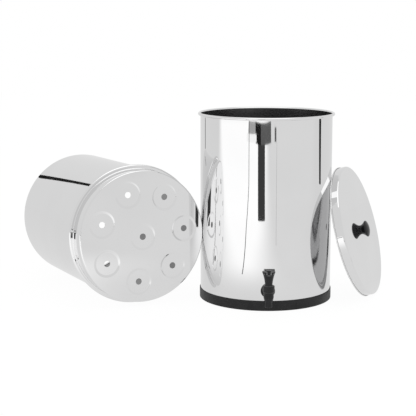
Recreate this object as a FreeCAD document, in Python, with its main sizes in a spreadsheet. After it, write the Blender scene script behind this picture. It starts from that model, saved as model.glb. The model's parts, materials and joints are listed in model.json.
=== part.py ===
import FreeCAD, Part
import Sketcher
import math
import os
import re

# Gravity water filter, taken apart: the lower chamber stands with its tap towards -Y, the upper
# chamber lies on its side at the left, and the lid leans on the lower chamber at the right.
# Millimetres, +Z up, origin on the floor at the middle of the base ring.

SIZES = {
    # lower chamber and its ring foot
    "chamber_radius": (139.7, "outside radius of the standing chamber"),
    "chamber_height": (397.7, "floor to the top of the rolled lip"),
    "wall": (0.8, "sheet thickness of both chambers and the lid"),
    "floor_height": (4.0, "underside of the chamber's own bottom"),
    "corner": (4.0, "outside bend radius at the chamber's bottom"),
    "curl": (3.0, "outside radius of the rolled lip's section"),
    "ring_height": (21.2, "height of the ring foot"),
    "ring_skin": (1.7, "how far the ring foot stands out from the wall"),
    "ring_sole": (20.0, "width of the ring foot's sole under the chamber"),
    "ring_edge": (1.1, "rounding of the ring foot's outer edges"),
    "seat_gap": (0.05, "gap between pieces that are assembled on each other"),
    "overcut": (1.0, "how far a cutting tool runs past the face that it opens"),
    # tap: body, shank and what clamps it to the wall
    "shank_height": (43.5, "height of the shank's axis"),
    "tap_reach": (45.3, "chamber wall to the tap's upright axis"),
    "shank_radius": (8.0, "threaded shank"),
    "shank_length": (24.0, "shank behind the flange's washer"),
    "wall_hole_play": (0.4, "chamber's tap hole over the shank, on the radius"),
    "water_bore": (4.6, "radius of the water's way through shank and spout"),
    "flange_radius": (14.8, "tap flange"),
    "flange_thick": (3.6, "tap flange"),
    "flange_edge": (1.44, "rounding of the flange's front edge"),
    "arm_radius": (8.4, "neck between flange and upright body"),
    "spout_end": (19.5, "height of the spout's mouth"),
    "spout_radius": (7.8, "outside of the spout's mouth"),
    "lip_round": (0.75, "rounding of the spout's mouth and the collar's rim"),
    "spout_top": (30.0, "where the spout widens into the body"),
    "body_radius": (10.3, "upright body round the valve"),
    "collar_radius": (12.0, "collar that takes the bonnet"),
    "collar_bottom": (51.5, "height of the collar's underside"),
    "collar_top": (64.0, "height of the collar's face"),
    "valve_radius": (7.3, "valve chamber in the body"),
    "seat_height": (36.0, "top of the raised valve seat"),
    "seat_rise": (1.5, "valve seat above the chamber's floor"),
    "seat_land": (1.5, "width of the valve seat's ring"),
    "plug_radius": (9.0, "bonnet's plug in the collar"),
    "washer_radius": (14.2, "rubber washers on the shank"),
    "outer_washer": (3.0, "thickness of the washer outside the wall"),
    "inner_washer": (3.6, "thickness of the washer inside the wall"),
    "plate_radius": (13.4, "steel washer on the shank"),
    "plate_thick": (1.2, "steel washer on the shank"),
    "washer_play": (0.2, "washers over the shank, on the radius"),
    "nut_flats": (25.0, "shank nut across its flats"),
    "nut_thick": (8.0, "shank nut"),
    "nut_collar": (2.0, "round foot of the shank nut"),
    # tap: bonnet, lever and valve
    "bonnet_waist": (7.5, "bonnet just above the collar"),
    "waist_height": (66.2, "where the bonnet's flare starts"),
    "bonnet_rise": (4.0, "bonnet's rim above the lever's pin"),
    "bonnet_radius": (13.2, "bonnet at its rim"),
    "bonnet_band": (1.8, "upright band at the bonnet's rim"),
    "bonnet_edge": (0.45, "rounding of the bonnet's rim"),
    "spring_room": (5.2, "radius of the bonnet's spring room"),
    "room_roof": (70.0, "height of the spring room's roof"),
    "pocket_drop": (4.1, "lever's pin above the floor of its pocket in the bonnet"),
    "pocket_back": (3.8, "lever's pocket behind the stem"),
    "lever_play": (0.9, "lever to the pocket's side"),
    "hinge_height": (89.0, "height of the lever's pin"),
    "hinge_ahead": (6.5, "lever's pin ahead of the stem"),
    "pin_radius": (1.2, "lever's pin"),
    "pin_play": (0.05, "lever and bonnet over the pin, on the radius"),
    "pin_length": (19.6, "lever's pin"),
    "hub_radius": (2.7, "lever round its pin"),
    "lever_neck": (7.4, "width of the lever's neck and fork"),
    "finger_radius": (2.0, "lever's fork fingers"),
    "paddle_width": (20.6, "lever's paddle"),
    "paddle_thick": (4.4, "lever's paddle"),
    "paddle_length": (36.0, "lever's paddle ahead of its pin"),
    "paddle_back": (3.4, "lever's paddle behind its pin"),
    "paddle_drop": (6.2, "pin to the paddle's underside"),
    "paddle_slope": (12.0, "degrees by which the paddle rises to the front"),
    "paddle_corner": (5.0, "paddle's corners in plan"),
    "paddle_edge": (1.2, "rounding round the paddle's top"),
    "stem_radius": (2.0, "valve stem"),
    "stem_play": (0.06, "bonnet's guide over the stem, on the radius"),
    "fork_play": (0.6, "fork's slot over the stem, each side"),
    "move_gap": (0.3, "gap between pieces that move on each other"),
    "head_radius": (3.4, "stem's head above the fork"),
    "head_thick": (1.6, "stem's head"),
    "stop_radius": (4.6, "stem's collar under the spring"),
    "stop_height": (50.6, "height of that collar's underside"),
    "stop_thick": (1.7, "stem's collar under the spring"),
    "foot_radius": (3.2, "stem's foot in the seat cup"),
    "foot_thick": (2.4, "stem's foot in the seat cup"),
    "cup_radius": (6.6, "seat cup"),
    "cup_height": (8.6, "seat cup"),
    "cup_sole": (3.2, "seat cup under the stem's foot"),
    "spring_wire": (0.35, "radius of the spring's wire"),
    "spring_radius": (3.8, "spring at the middle of its wire"),
    "spring_turns": (6, "turns of the spring"),
    "shim_thick": (1.0, "plate between spring and stem seal"),
    "seal_thick": (3.4, "stem seal"),
    # upper chamber, lying at the left
    "upper_inset": (0.7, "upper chamber's wall inside the line of the lower chamber's"),
    "upper_length": (372.8, "bottom to mouth"),
    "nest_play": (0.9, "nesting part inside the lower chamber, on the radius"),
    "nest_corner": (3.0, "outside bend radius at the upper chamber's bottom"),
    "bead_proud": (6.7, "bead beyond the line of the lower chamber's wall"),
    "bead_offset": (42.7, "bottom to the middle of the bead"),
    "bead_section": (3.7, "outside radius of the bead's section"),
    "hem_height": (8.0, "folded edge at the mouth"),
    "element_circle": (188.5, "diameter of the circle of element holes"),
    "element_count": (7, "element holes on the circle"),
    "element_hole": (6.5, "radius of an element hole"),
    "element_turn": (109.3, "degrees to the first hole round the upper chamber's axis"),
    "dish_radius": (29.0, "pressed seat round an element hole, at its outer edge"),
    "dish_depth": (1.2, "pressed seat round an element hole"),
    "dish_side": (5.6, "width of a pressed seat's sloping side"),
    "upper_azimuth": (-63.83, "way that the upper chamber's bottom faces, in degrees from +X"),
    "upper_ahead": (25.3, "standing axis ahead of the upper chamber's bottom"),
    "stand_gap": (0.3, "gap between the three vessels as they stand"),
    # lid and knob, leaning at the right
    "lid_play": (0.8, "lid over the upper chamber, on the radius"),
    "lid_depth": (18.8, "lid's face to its open edge"),
    "lid_corner": (3.6, "outside bend radius of the lid"),
    "lid_curl": (1.35, "outside radius of the lid's rolled edge"),
    "lid_azimuth": (-19.44, "way that the lid faces, in degrees from +X"),
    "lid_tilt": (15.43, "degrees by which the lid faces upwards"),
    "lid_bearing": (3.48, "degrees from +X to the lid's middle"),
    "knob_radius": (17.5, "knob at its edge"),
    "knob_foot": (9.8, "knob on the lid"),
    "knob_edge": (14.3, "lid to the knob's widest edge"),
    "knob_height": (18.8, "lid to the knob's crown"),
    "knob_band": (2.2, "straight band at the knob's edge"),
    "knob_plinth": (1.2, "straight foot of the knob"),
    "knob_flare": (13.9, "radius of the knob's waisted side"),
    "insert_radius": (3.6, "threaded insert in the knob"),
    "insert_length": (10.0, "threaded insert in the knob"),
    "screw_radius": (2.0, "knob's screw"),
    "screw_play": (0.3, "lid and washers over the screw, on the radius"),
    "screw_head": (4.2, "head of the knob's screw"),
    "screw_head_thick": (2.6, "head of the knob's screw"),
    "screw_rim": (0.8, "upright rim of the screw's head"),
    "screw_flat": (2.6, "radius of the flat on the screw's head"),
    "screw_dome": (3.1, "rounding of the screw's head"),
    "gasket_radius": (7.5, "rubber gasket under the lid"),
    "gasket_thick": (1.2, "rubber gasket under the lid"),
    "disc_radius": (6.5, "steel washer under the lid"),
    "disc_thick": (0.9, "steel washer under the lid"),
}

# Lengths and places that follow from the sizes
DERIVED = {
    "upper_radius": "chamber_radius - upper_inset",
    "nest_radius": "chamber_radius - wall - nest_play",
    "bead_radius": "chamber_radius + bead_proud",
    "curl_axis": "chamber_radius - wall + curl",
    "ring_out": "chamber_radius + ring_skin",
    "ring_in": "chamber_radius + seat_gap",
    "tap_axis": "-(chamber_radius + tap_reach)",
    "flange_face": "tap_reach - outer_washer - seat_gap",
    "nut_reach": "nut_flats / 2 / cos(30deg)",
    "nut_place": "wall + inner_washer + plate_thick + 2 * seat_gap - chamber_radius",
    "bonnet_top": "hinge_height + bonnet_rise",
    "pocket_floor": "hinge_height - pocket_drop",
    "half_pocket": "lever_neck / 2 + lever_play",
    "slope_run": "tan(paddle_slope * 1deg)",
    "nose_height": "paddle_drop + paddle_length * slope_run",
    "half_slot": "stem_radius + fork_play",
    "cup_bottom": "seat_height + move_gap",
    "foot_bottom": "cup_bottom + cup_sole",
    "foot_top": "foot_bottom + foot_thick + seat_gap",
    "head_bottom": "hinge_height + finger_radius + move_gap",
    "seal_inside": "stem_radius + stem_play",
    "shim_bottom": "room_roof - 2 * seat_gap - seal_thick - shim_thick",
    "bead_axis": "bead_radius - bead_section",
    "dish_angle": "atan(dish_side / dish_depth)",
    "circle_x": "element_circle / 2 * cos(element_turn * 1deg)",
    "circle_y": "element_circle / 2 * sin(element_turn * 1deg)",
    "lid_radius": "upper_radius + lid_play + wall",
    "lid_curl_axis": "lid_radius - wall + lid_curl",
    "crown": "knob_height - knob_edge",
    "disc_bottom": "-wall - 2 * seat_gap - gasket_thick - disc_thick",
    "head_top": "disc_bottom - seat_gap",
}

doc = FreeCAD.newDocument("WaterFilter")
sheet = doc.addObject("Spreadsheet::Sheet", "Sizes")
for line, (alias, (number, note)) in enumerate(SIZES.items(), start=1):
    sheet.set(f"A{line}", note)
    sheet.set(f"B{line}", str(number))
    sheet.setAlias(f"B{line}", alias)
doc.recompute()

WORD = re.compile(r"[a-z_]+")
NODES = []


def bound(text):
    """Turn words that name a size into references to the sheet, and spell out derived lengths."""
    def spelled(match):
        word = match.group()
        if word in DERIVED:
            return f"({bound(DERIVED[word])})"
        return f"Sizes.{word}" if word in SIZES else word
    return WORD.sub(spelled, text)


def value(text):
    """Number that an expression has now."""
    result = sheet.evalExpression(bound(text))
    return float(getattr(result, "Value", result))


def bind(target, path, text):
    target.setExpression(path, bound(text))


def new_body(name):
    body = doc.addObject("PartDesign::Body", name)
    body.Label = name
    NODES.append(body)
    return body


def plane_of(body, role):
    return next(feature for feature in body.Origin.OriginFeatures if feature.Role == role)


def attached_sketch(body, name, role, offset=None):
    """Sketch on one of the body's own planes: XZ_Plane has x, z; YZ_Plane y, z; XY_Plane x, y."""
    sketch = body.newObject("Sketcher::SketchObject", name)
    sketch.AttachmentSupport = [(plane_of(body, role), "")]
    sketch.MapMode = "FlatFace"
    if offset is not None:
        bind(sketch, "AttachmentOffset.Base.z", offset)
    return sketch


def locate(sketch, geometry, point, x, y):
    """Hold one point of the sketch at two expressions."""
    for kind, text in (("DistanceX", x), ("DistanceY", y)):
        index = sketch.addConstraint(Sketcher.Constraint(kind, -1, 1, geometry, point, value(text)))
        bind(sketch, f"Constraints[{index}]", text)


def outline(sketch, corners):
    """Closed outline. A corner is (x, y), or (x, y, radius, turn) when an arc leaves it:
    turn 1 runs anticlockwise and -1 clockwise, and 2 or -2 takes the long way round."""
    places = [(value(corner[0]), value(corner[1])) for corner in corners]
    edges = []
    for number, corner in enumerate(corners):
        begin = FreeCAD.Vector(*places[number], 0)
        end = FreeCAD.Vector(*places[(number + 1) % len(corners)], 0)
        if len(corner) == 2:
            edge = sketch.addGeometry(Part.LineSegment(begin, end), False)
            edges.append((edge, 1, 2))
            continue
        radius, turn = value(corner[2]), corner[3]
        chord = end - begin
        side = FreeCAD.Vector(-chord.y, chord.x, 0).normalize()
        reach = math.sqrt(max(radius**2 - chord.Length**2 / 4, 0))
        if turn in (-1, 2):
            reach = -reach
        middle = (begin + end) * 0.5 + side * reach
        first, last = (begin, end) if turn > 0 else (end, begin)
        start_angle = math.atan2(first.y - middle.y, first.x - middle.x)
        end_angle = math.atan2(last.y - middle.y, last.x - middle.x)
        circle = Part.Circle(middle, FreeCAD.Vector(0, 0, 1), radius)
        edge = sketch.addGeometry(Part.ArcOfCircle(circle, start_angle, end_angle), False)
        edges.append((edge, 1, 2) if turn > 0 else (edge, 2, 1))
    for number, (edge, begin, _) in enumerate(edges):
        before, _, end = edges[number - 1]
        sketch.addConstraint(Sketcher.Constraint("Coincident", before, end, edge, begin))
        locate(sketch, edge, begin, corners[number][0], corners[number][1])
        if len(corners[number]) == 4:
            index = sketch.addConstraint(
                Sketcher.Constraint("Radius", edge, value(corners[number][2])))
            bind(sketch, f"Constraints[{index}]", corners[number][2])


def ring(sketch, radius, x="0", y="0"):
    """Circle held by its centre and radius."""
    circle = Part.Circle(FreeCAD.Vector(value(x), value(y), 0), FreeCAD.Vector(0, 0, 1), value(radius))
    edge = sketch.addGeometry(circle, False)
    locate(sketch, edge, 3, x, y)
    index = sketch.addConstraint(Sketcher.Constraint("Radius", edge, value(radius)))
    bind(sketch, f"Constraints[{index}]", radius)


def volume(body):
    doc.recompute()
    return body.Shape.Volume


def checked(body, feature, before, grows):
    """Stop if a feature added or cut nothing."""
    after = volume(body)
    change = after - before if grows else before - after
    if "Invalid" in feature.State or "Error" in feature.State or change <= 1e-6:
        raise RuntimeError(f"{body.Label}: {feature.Label} changed the volume by {after - before:.4f}")
    return feature


def turned(body, name, corners, cut=False):
    """Revolution or Groove of an outline drawn as radius, height."""
    before = volume(body) if cut else 0
    sketch = attached_sketch(body, name + "Profile", "XZ_Plane")
    outline(sketch, corners)
    feature = body.newObject("PartDesign::Groove" if cut else "PartDesign::Revolution", name)
    feature.Profile = sketch
    feature.ReferenceAxis = (sketch, ["V_Axis"])
    feature.Angle = 360
    return checked(body, feature, before, not cut)


def padded(body, name, sketch, length, both=False, reverse=False):
    before = volume(body) if body.Tip and body.Tip.isDerivedFrom("PartDesign::Feature") else 0
    feature = body.newObject("PartDesign::Pad", name)
    feature.Profile = sketch
    bind(feature, "Length", length)
    feature.Midplane = both
    feature.Reversed = reverse
    return checked(body, feature, before, True)


def pocketed(body, name, sketch, length, both=False, reverse=False, taper=None):
    before = volume(body)
    feature = body.newObject("PartDesign::Pocket", name)
    feature.Profile = sketch
    bind(feature, "Length", length)
    feature.Midplane = both
    feature.Reversed = reverse
    if taper is not None:
        bind(feature, "TaperAngle", taper)
    return checked(body, feature, before, False)


def edges_where(shape, test):
    return [f"Edge{number}" for number, edge in enumerate(shape.Edges, start=1) if test(edge)]


def filleted(body, name, base, test, radius):
    """Fillet the edges of a feature that pass a test."""
    names = edges_where(base.Shape, test)
    feature = body.newObject("PartDesign::Fillet", name)
    feature.Base = (base, names)
    bind(feature, "Radius", radius)
    doc.recompute()
    return feature


def washer(name, inner, outer, bottom, thick):
    """Plain ring, drawn on its own body's axis."""
    body = new_body(name)
    top = f"{bottom} + {thick}"
    turned(body, name + "Turn", [(inner, bottom), (outer, bottom), (outer, top), (inner, top)])
    return body


def on_tap_axis(body, ahead="0", height="0"):
    """Stand a body on the tap's upright axis."""
    bind(body, "Placement.Base.y", f"tap_axis - ({ahead})")
    bind(body, "Placement.Base.z", height)


# Lower chamber: a spun vessel with an outward rolled lip and a hole for the tap
lower = new_body("lower_chamber")
turned(lower, "VesselTurn", [
    ("0", "floor_height"),
    ("chamber_radius - corner", "floor_height", "corner", 1),
    ("chamber_radius", "floor_height + corner"),
    ("chamber_radius", "chamber_height - curl", "curl - wall", -2),
    ("curl_axis", "chamber_height - 2 * curl + wall"),
    ("curl_axis", "chamber_height - 2 * curl", "curl", 2),
    ("chamber_radius - wall", "chamber_height - curl"),
    ("chamber_radius - wall", "floor_height + corner", "corner - wall", -1),
    ("chamber_radius - corner", "floor_height + wall"),
    ("0", "floor_height + wall"),
])
hole = attached_sketch(lower, "TapHole", "XZ_Plane")
ring(hole, "shank_radius + wall_hole_play", y="shank_height")
pocketed(lower, "TapHoleCut", hole, "chamber_radius + wall", reverse=True)

# Ring foot: a moulded ring of L section round the chamber's bottom edge
foot = new_body("base_ring")
turned(foot, "RingTurn", [
    ("chamber_radius - ring_sole", "0"),
    ("ring_out - ring_edge", "0", "ring_edge", 1),
    ("ring_out", "ring_edge"),
    ("ring_out", "ring_height - ring_edge", "ring_edge", 1),
    ("ring_out - ring_edge", "ring_height"),
    ("ring_in", "ring_height"),
    ("ring_in", "floor_height + corner", "corner + seat_gap", -1),
    ("chamber_radius - corner", "floor_height - seat_gap"),
    ("chamber_radius - ring_sole", "floor_height - seat_gap"),
])

# Tap body: upright valve housing and spout, with a cross neck, a flange and the shank
tap = new_body("tap_body")
turned(tap, "TapTurn", [
    ("0", "spout_end"),
    ("spout_radius - lip_round", "spout_end", "lip_round", 1),
    ("spout_radius", "spout_end + lip_round"),
    ("spout_radius", "spout_top"),
    ("body_radius", "shank_height - 0.5 * arm_radius"),
    ("body_radius", "collar_bottom - (collar_radius - body_radius)"),
    ("collar_radius", "collar_bottom"),
    ("collar_radius", "collar_top - lip_round", "lip_round", 1),
    ("collar_radius - lip_round", "collar_top"),
    ("0", "collar_top"),
])
for part_name, radius, begin, length in (
    ("Neck", "arm_radius", "0", "flange_face - 0.5 * flange_thick"),
    ("Flange", "flange_radius", "flange_face - flange_thick", "flange_thick"),
    ("Shank", "shank_radius", "flange_face - 0.5 * flange_thick",
     "shank_length + outer_washer + 0.5 * flange_thick"),
):
    section = attached_sketch(tap, part_name + "Circle", "XZ_Plane", f"-({begin})")
    ring(section, radius, y="shank_height")
    padded(tap, part_name, section, length, reverse=True)
filleted(tap, "FlangeEdge", tap.Tip, lambda e: (
    isinstance(e.Curve, Part.Circle)
    and abs(e.Curve.Radius - value("flange_radius")) < 1e-6
    and abs(e.Curve.Axis.y) > 0.9
    and e.Curve.Center.y < value("flange_face - flange_thick + seat_gap")), "flange_edge")
bore = attached_sketch(tap, "WaterCircle", "XZ_Plane")
ring(bore, "water_bore", y="shank_height")
pocketed(tap, "WaterWay", bore, "tap_reach + shank_length + flange_thick")
turned(tap, "ValveChamber", [
    ("0", "spout_end - overcut"),
    ("water_bore", "spout_end - overcut"),
    ("water_bore", "seat_height"),
    ("water_bore + seat_land", "seat_height"),
    ("water_bore + seat_land", "seat_height - seat_rise"),
    ("valve_radius", "seat_height - seat_rise"),
    ("valve_radius", "collar_bottom"),
    ("plug_radius + seat_gap", "collar_bottom"),
    ("plug_radius + seat_gap", "collar_top + overcut"),
    ("0", "collar_top + overcut"),
], cut=True)
on_tap_axis(tap)


def shank_ring(name, radius, near, thick):
    """Ring on the shank, laid along +Y from a distance inside the flange's washer seat."""
    tube = doc.addObject("Part::Cylinder", name + "Disc")
    bind(tube, "Radius", radius)
    bore_tool = doc.addObject("Part::Cylinder", name + "Bore")
    bind(bore_tool, "Radius", "shank_radius + washer_play")
    for tool, extra in ((tube, "0"), (bore_tool, "overcut")):
        bind(tool, "Height", f"{thick} + 2 * {extra}")
        tool.Placement.Rotation = FreeCAD.Rotation(FreeCAD.Vector(1, 0, 0), -90)
        bind(tool, "Placement.Base.y", f"-chamber_radius + ({near}) - {extra}")
        bind(tool, "Placement.Base.z", "shank_height")
    cut = doc.addObject("Part::Cut", name + "Ring")
    cut.Base = tube
    cut.Tool = bore_tool
    return cut


def wall_tool(name, radius):
    """Upright cylinder with the wall's curve, for a washer that follows it."""
    tool = doc.addObject("Part::Cylinder", name)
    bind(tool, "Radius", radius)
    bind(tool, "Height", "chamber_height")
    return tool


# Rubber washers take the curve of the wall on one side and are flat on the other
outer = doc.addObject("Part::Cut", "OuterWasher")
outer.Base = shank_ring("Outer", "washer_radius", "-outer_washer", "2 * outer_washer")
outer.Tool = wall_tool("OuterWall", "chamber_radius + seat_gap")
outer.Label = "outer_washer"
inner = doc.addObject("Part::Common", "InnerWasher")
inner.Base = shank_ring("Inner", "washer_radius", "0", "wall + inner_washer")
inner.Tool = wall_tool("InnerWall", "chamber_radius - wall - seat_gap")
inner.Label = "inner_washer"
NODES.extend([outer, inner])

plate = shank_ring("Plate", "plate_radius", "wall + inner_washer + seat_gap", "plate_thick")
plate.Label = "shank_plate"
NODES.append(plate)

# Shank nut: a hexagon on a round foot
nut = new_body("shank_nut")
nut_foot = attached_sketch(nut, "NutFoot", "XZ_Plane")
ring(nut_foot, "0.5 * nut_flats")
padded(nut, "NutFootPad", nut_foot, "nut_collar", reverse=True)
hexagon = attached_sketch(nut, "NutHexagon", "XZ_Plane", "-nut_collar")
outline(hexagon, [(f"nut_reach * cos({turn}deg)", f"nut_reach * sin({turn}deg)")
                  for turn in range(0, 360, 60)])
padded(nut, "NutHexagonPad", hexagon, "nut_thick - nut_collar", reverse=True)
thread = attached_sketch(nut, "NutBore", "XZ_Plane")
ring(thread, "shank_radius + seat_gap")
pocketed(nut, "NutBoreCut", thread, "nut_thick + overcut")
bind(nut, "Placement.Base.y", "nut_place")
bind(nut, "Placement.Base.z", "shank_height")

# Bonnet: a flared cap with a plug below and an open pocket for the lever above
bonnet = new_body("tap_bonnet")
turned(bonnet, "BonnetTurn", [
    ("spring_room", "collar_bottom + seat_gap"),
    ("plug_radius", "collar_bottom + seat_gap"),
    ("plug_radius", "collar_top + seat_gap"),
    ("bonnet_waist", "waist_height"),
    ("bonnet_radius", "bonnet_top - bonnet_band"),
    ("bonnet_radius", "bonnet_top - bonnet_edge", "bonnet_edge", 1),
    ("bonnet_radius - bonnet_edge", "bonnet_top"),
    ("stem_radius + stem_play", "bonnet_top"),
    ("stem_radius + stem_play", "room_roof"),
    ("spring_room", "room_roof"),
])
pocket = attached_sketch(bonnet, "LeverPocket", "XY_Plane", "pocket_floor")
outline(pocket, [
    ("-half_pocket", "-2 * bonnet_radius"),
    ("half_pocket", "-2 * bonnet_radius"),
    ("half_pocket", "pocket_back"),
    ("-half_pocket", "pocket_back"),
])
pocketed(bonnet, "LeverPocketCut", pocket, "bonnet_top - pocket_floor + overcut", reverse=True)
pin_hole = attached_sketch(bonnet, "PinHole", "YZ_Plane")
ring(pin_hole, "pin_radius + pin_play", "-hinge_ahead", "hinge_height")
pocketed(bonnet, "PinHoleCut", pin_hole, "3 * bonnet_radius", both=True)
on_tap_axis(bonnet)

# Lever: a fork round the stem, a hub on the pin and a sloping paddle, drawn from the pin
lever = new_body("tap_lever")
side_view = attached_sketch(lever, "LeverSide", "YZ_Plane")
outline(side_view, [
    ("hinge_ahead", "-finger_radius", "finger_radius", 1),
    ("hinge_ahead + finger_radius", "0", "finger_radius", 1),
    ("hinge_ahead", "finger_radius"),
    ("hub_radius", "finger_radius"),
    ("hub_radius - 0.5 * finger_radius", "finger_radius + 0.5 * finger_radius"),
    ("hub_radius - 0.5 * finger_radius", "paddle_drop + 0.5 * paddle_thick"),
    ("-hub_radius", "paddle_drop + 0.5 * paddle_thick"),
    ("-hub_radius", "0", "hub_radius", 1),
    ("0", "-hub_radius"),
    ("0.5 * hinge_ahead", "-finger_radius"),
])
padded(lever, "LeverNeck", side_view, "lever_neck", both=True)
blade = attached_sketch(lever, "PaddleSide", "YZ_Plane")
outline(blade, [
    ("paddle_back", "paddle_drop - paddle_back * slope_run"),
    ("paddle_back", "paddle_drop - paddle_back * slope_run + paddle_thick"),
    ("-paddle_length", "nose_height + paddle_thick"),
    ("-paddle_length", "nose_height"),
])
padded(lever, "PaddlePad", blade, "paddle_width", both=True)
fork = attached_sketch(lever, "ForkSlot", "XY_Plane", "-2 * finger_radius")
outline(fork, [
    ("-half_slot", "hinge_ahead - half_slot"),
    ("half_slot", "hinge_ahead - half_slot"),
    ("half_slot", "hinge_ahead + 2 * finger_radius"),
    ("-half_slot", "hinge_ahead + 2 * finger_radius"),
])
pocketed(lever, "ForkSlotCut", fork, "4 * finger_radius", reverse=True)
eye = attached_sketch(lever, "LeverEye", "YZ_Plane")
ring(eye, "pin_radius + pin_play")
pocketed(lever, "LeverEyeCut", eye, "2 * lever_neck", both=True)


def at_nose(edge):
    """Upright edge at the paddle's front end."""
    return all(abs(v.Y + value("paddle_length")) < 1e-6 for v in edge.Vertexes) and (
        abs(edge.Vertexes[0].X - edge.Vertexes[-1].X) < 1e-6)


def on_blade_top(edge):
    """Edge that lies in the paddle's sloping top face."""
    top = value("paddle_drop + paddle_thick")
    run = value("slope_run")
    return all(abs(v.Z - top + v.Y * run) < 1e-6 for v in edge.Vertexes)


corners = filleted(lever, "PaddleCorners", lever.Tip, at_nose, "paddle_corner")
filleted(lever, "PaddleEdge", corners, on_blade_top, "paddle_edge")
on_tap_axis(lever, "hinge_ahead", "hinge_height")

pin = doc.addObject("Part::Cylinder", "LeverPin")
pin.Label = "lever_pin"
bind(pin, "Radius", "pin_radius")
bind(pin, "Height", "pin_length")
pin.Placement.Rotation = FreeCAD.Rotation(FreeCAD.Vector(0, 1, 0), 90)
bind(pin, "Placement.Base.x", "-0.5 * pin_length")
bind(pin, "Placement.Base.y", "tap_axis - hinge_ahead")
bind(pin, "Placement.Base.z", "hinge_height")
NODES.append(pin)

# Valve stem: foot in the cup, collar under the spring, head over the lever's fork
stem = new_body("valve_stem")
turned(stem, "StemTurn", [
    ("0", "foot_bottom"),
    ("foot_radius", "foot_bottom"),
    ("foot_radius", "foot_bottom + foot_thick"),
    ("stem_radius", "foot_bottom + foot_thick"),
    ("stem_radius", "stop_height"),
    ("stop_radius", "stop_height"),
    ("stop_radius", "stop_height + stop_thick"),
    ("stem_radius", "stop_height + stop_thick"),
    ("stem_radius", "head_bottom"),
    ("head_radius", "head_bottom"),
    ("head_radius", "head_bottom + head_thick"),
    ("0", "head_bottom + head_thick"),
])
on_tap_axis(stem)

# Seat cup: the soft plug that closes the spout, moulded round the stem's foot
cup = new_body("seat_cup")
turned(cup, "CupTurn", [
    ("0", "cup_bottom"),
    ("cup_radius - seat_rise", "cup_bottom"),
    ("cup_radius", "cup_bottom + seat_rise"),
    ("cup_radius", "cup_bottom + cup_height - cup_sole"),
    ("foot_radius + seat_gap + seat_rise", "cup_bottom + cup_height"),
    ("stem_radius + seat_gap", "cup_bottom + cup_height"),
    ("stem_radius + seat_gap", "foot_top"),
    ("foot_radius + seat_gap", "foot_top"),
    ("foot_radius + seat_gap", "foot_bottom - seat_gap"),
    ("0", "foot_bottom - seat_gap"),
])
on_tap_axis(cup)

# Stem seal and its plate, under the roof of the bonnet's spring room
seal = washer("stem_seal", "seal_inside", "spring_room - seat_gap", "room_roof - seat_gap - seal_thick",
              "seal_thick")
shim = washer("spring_plate", "seal_inside", "spring_room - seat_gap", "shim_bottom", "shim_thick")
on_tap_axis(seal)
on_tap_axis(shim)


def coil(name, radius, wire, low, high, turns):
    """Compression spring as one unbroken wire along a helix."""
    climb = (high - low - 2 * wire) / turns
    path = Part.makeHelix(climb, high - low - 2 * wire, radius)
    section = Part.Wire(Part.makeCircle(wire, FreeCAD.Vector(radius, 0, 0), FreeCAD.Vector(0, 1, 0)))
    solid = Part.Wire(path.Edges).makePipeShell([section], True, True)
    spring = doc.addObject("Part::Feature", name)
    spring.Label = name
    spring.Shape = solid
    spring.Placement = FreeCAD.Placement(
        FreeCAD.Vector(0, value("tap_axis"), low + wire), FreeCAD.Rotation())
    print(f"{name}: {climb - 2 * wire:.2f} mm between turns")
    return spring


NODES.append(coil("valve_spring", value("spring_radius"), value("spring_wire"),
                  value("stop_height + stop_thick + seat_gap"), value("shim_bottom - seat_gap"),
                  value("spring_turns")))

# Upper chamber: drawn from its bottom at z = 0 to its mouth, then laid down
upper = new_body("upper_chamber")
turned(upper, "UpperTurn", [
    ("0", "0"),
    ("nest_radius - nest_corner", "0", "nest_corner", 1),
    ("nest_radius", "nest_corner"),
    ("nest_radius", "bead_offset - bead_section"),
    ("bead_axis", "bead_offset - bead_section", "bead_section", 1),
    ("bead_radius", "bead_offset", "bead_section", 1),
    ("bead_axis", "bead_offset + bead_section"),
    ("upper_radius", "bead_offset + bead_section"),
    ("upper_radius", "upper_length - wall", "wall", 1),
    ("upper_radius - wall", "upper_length", "wall", 1),
    ("upper_radius - 2 * wall", "upper_length - wall"),
    ("upper_radius - 2 * wall", "upper_length - hem_height"),
    ("upper_radius - wall", "upper_length - hem_height"),
    ("upper_radius - wall", "bead_offset + bead_section - wall"),
    ("bead_axis", "bead_offset + bead_section - wall", "bead_section - wall", -1),
    ("bead_radius - wall", "bead_offset", "bead_section - wall", -1),
    ("bead_axis", "bead_offset - bead_section + wall"),
    ("nest_radius - wall", "bead_offset - bead_section + wall"),
    ("nest_radius - wall", "nest_corner", "nest_corner - wall", -1),
    ("nest_radius - nest_corner", "wall"),
    ("0", "wall"),
])


def pressed_seats(name, radius, height, depth, adds):
    """One seat's disc at the centre and one on the circle, the second of them patterned."""
    for place, x, y in (("Centre", "0", "0"), ("Circle", "circle_x", "circle_y")):
        sketch = attached_sketch(upper, f"{name}{place}Sketch", "XY_Plane", height)
        ring(sketch, radius, x, y)
        if adds:
            feature = padded(upper, f"{name}{place}", sketch, depth)
            bind(feature, "TaperAngle", "-dish_angle")
        else:
            feature = pocketed(upper, f"{name}{place}", sketch, depth, reverse=True)
            if name == "Dish":
                bind(feature, "TaperAngle", "-dish_angle")
        doc.recompute()
    before = volume(upper)
    pattern = upper.newObject("PartDesign::PolarPattern", name + "Pattern")
    pattern.Originals = [feature]
    pattern.Axis = (plane_of(upper, "Z_Axis"), [""])
    pattern.Angle = 360
    bind(pattern, "Occurrences", "element_count")
    upper.Tip = pattern
    checked(upper, pattern, before, adds)


pressed_seats("Boss", "dish_radius", "wall", "dish_depth", True)
pressed_seats("Dish", "dish_radius", "0", "dish_depth", False)
pressed_seats("Hole", "element_hole", "0", "2 * dish_depth + wall", False)

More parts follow.
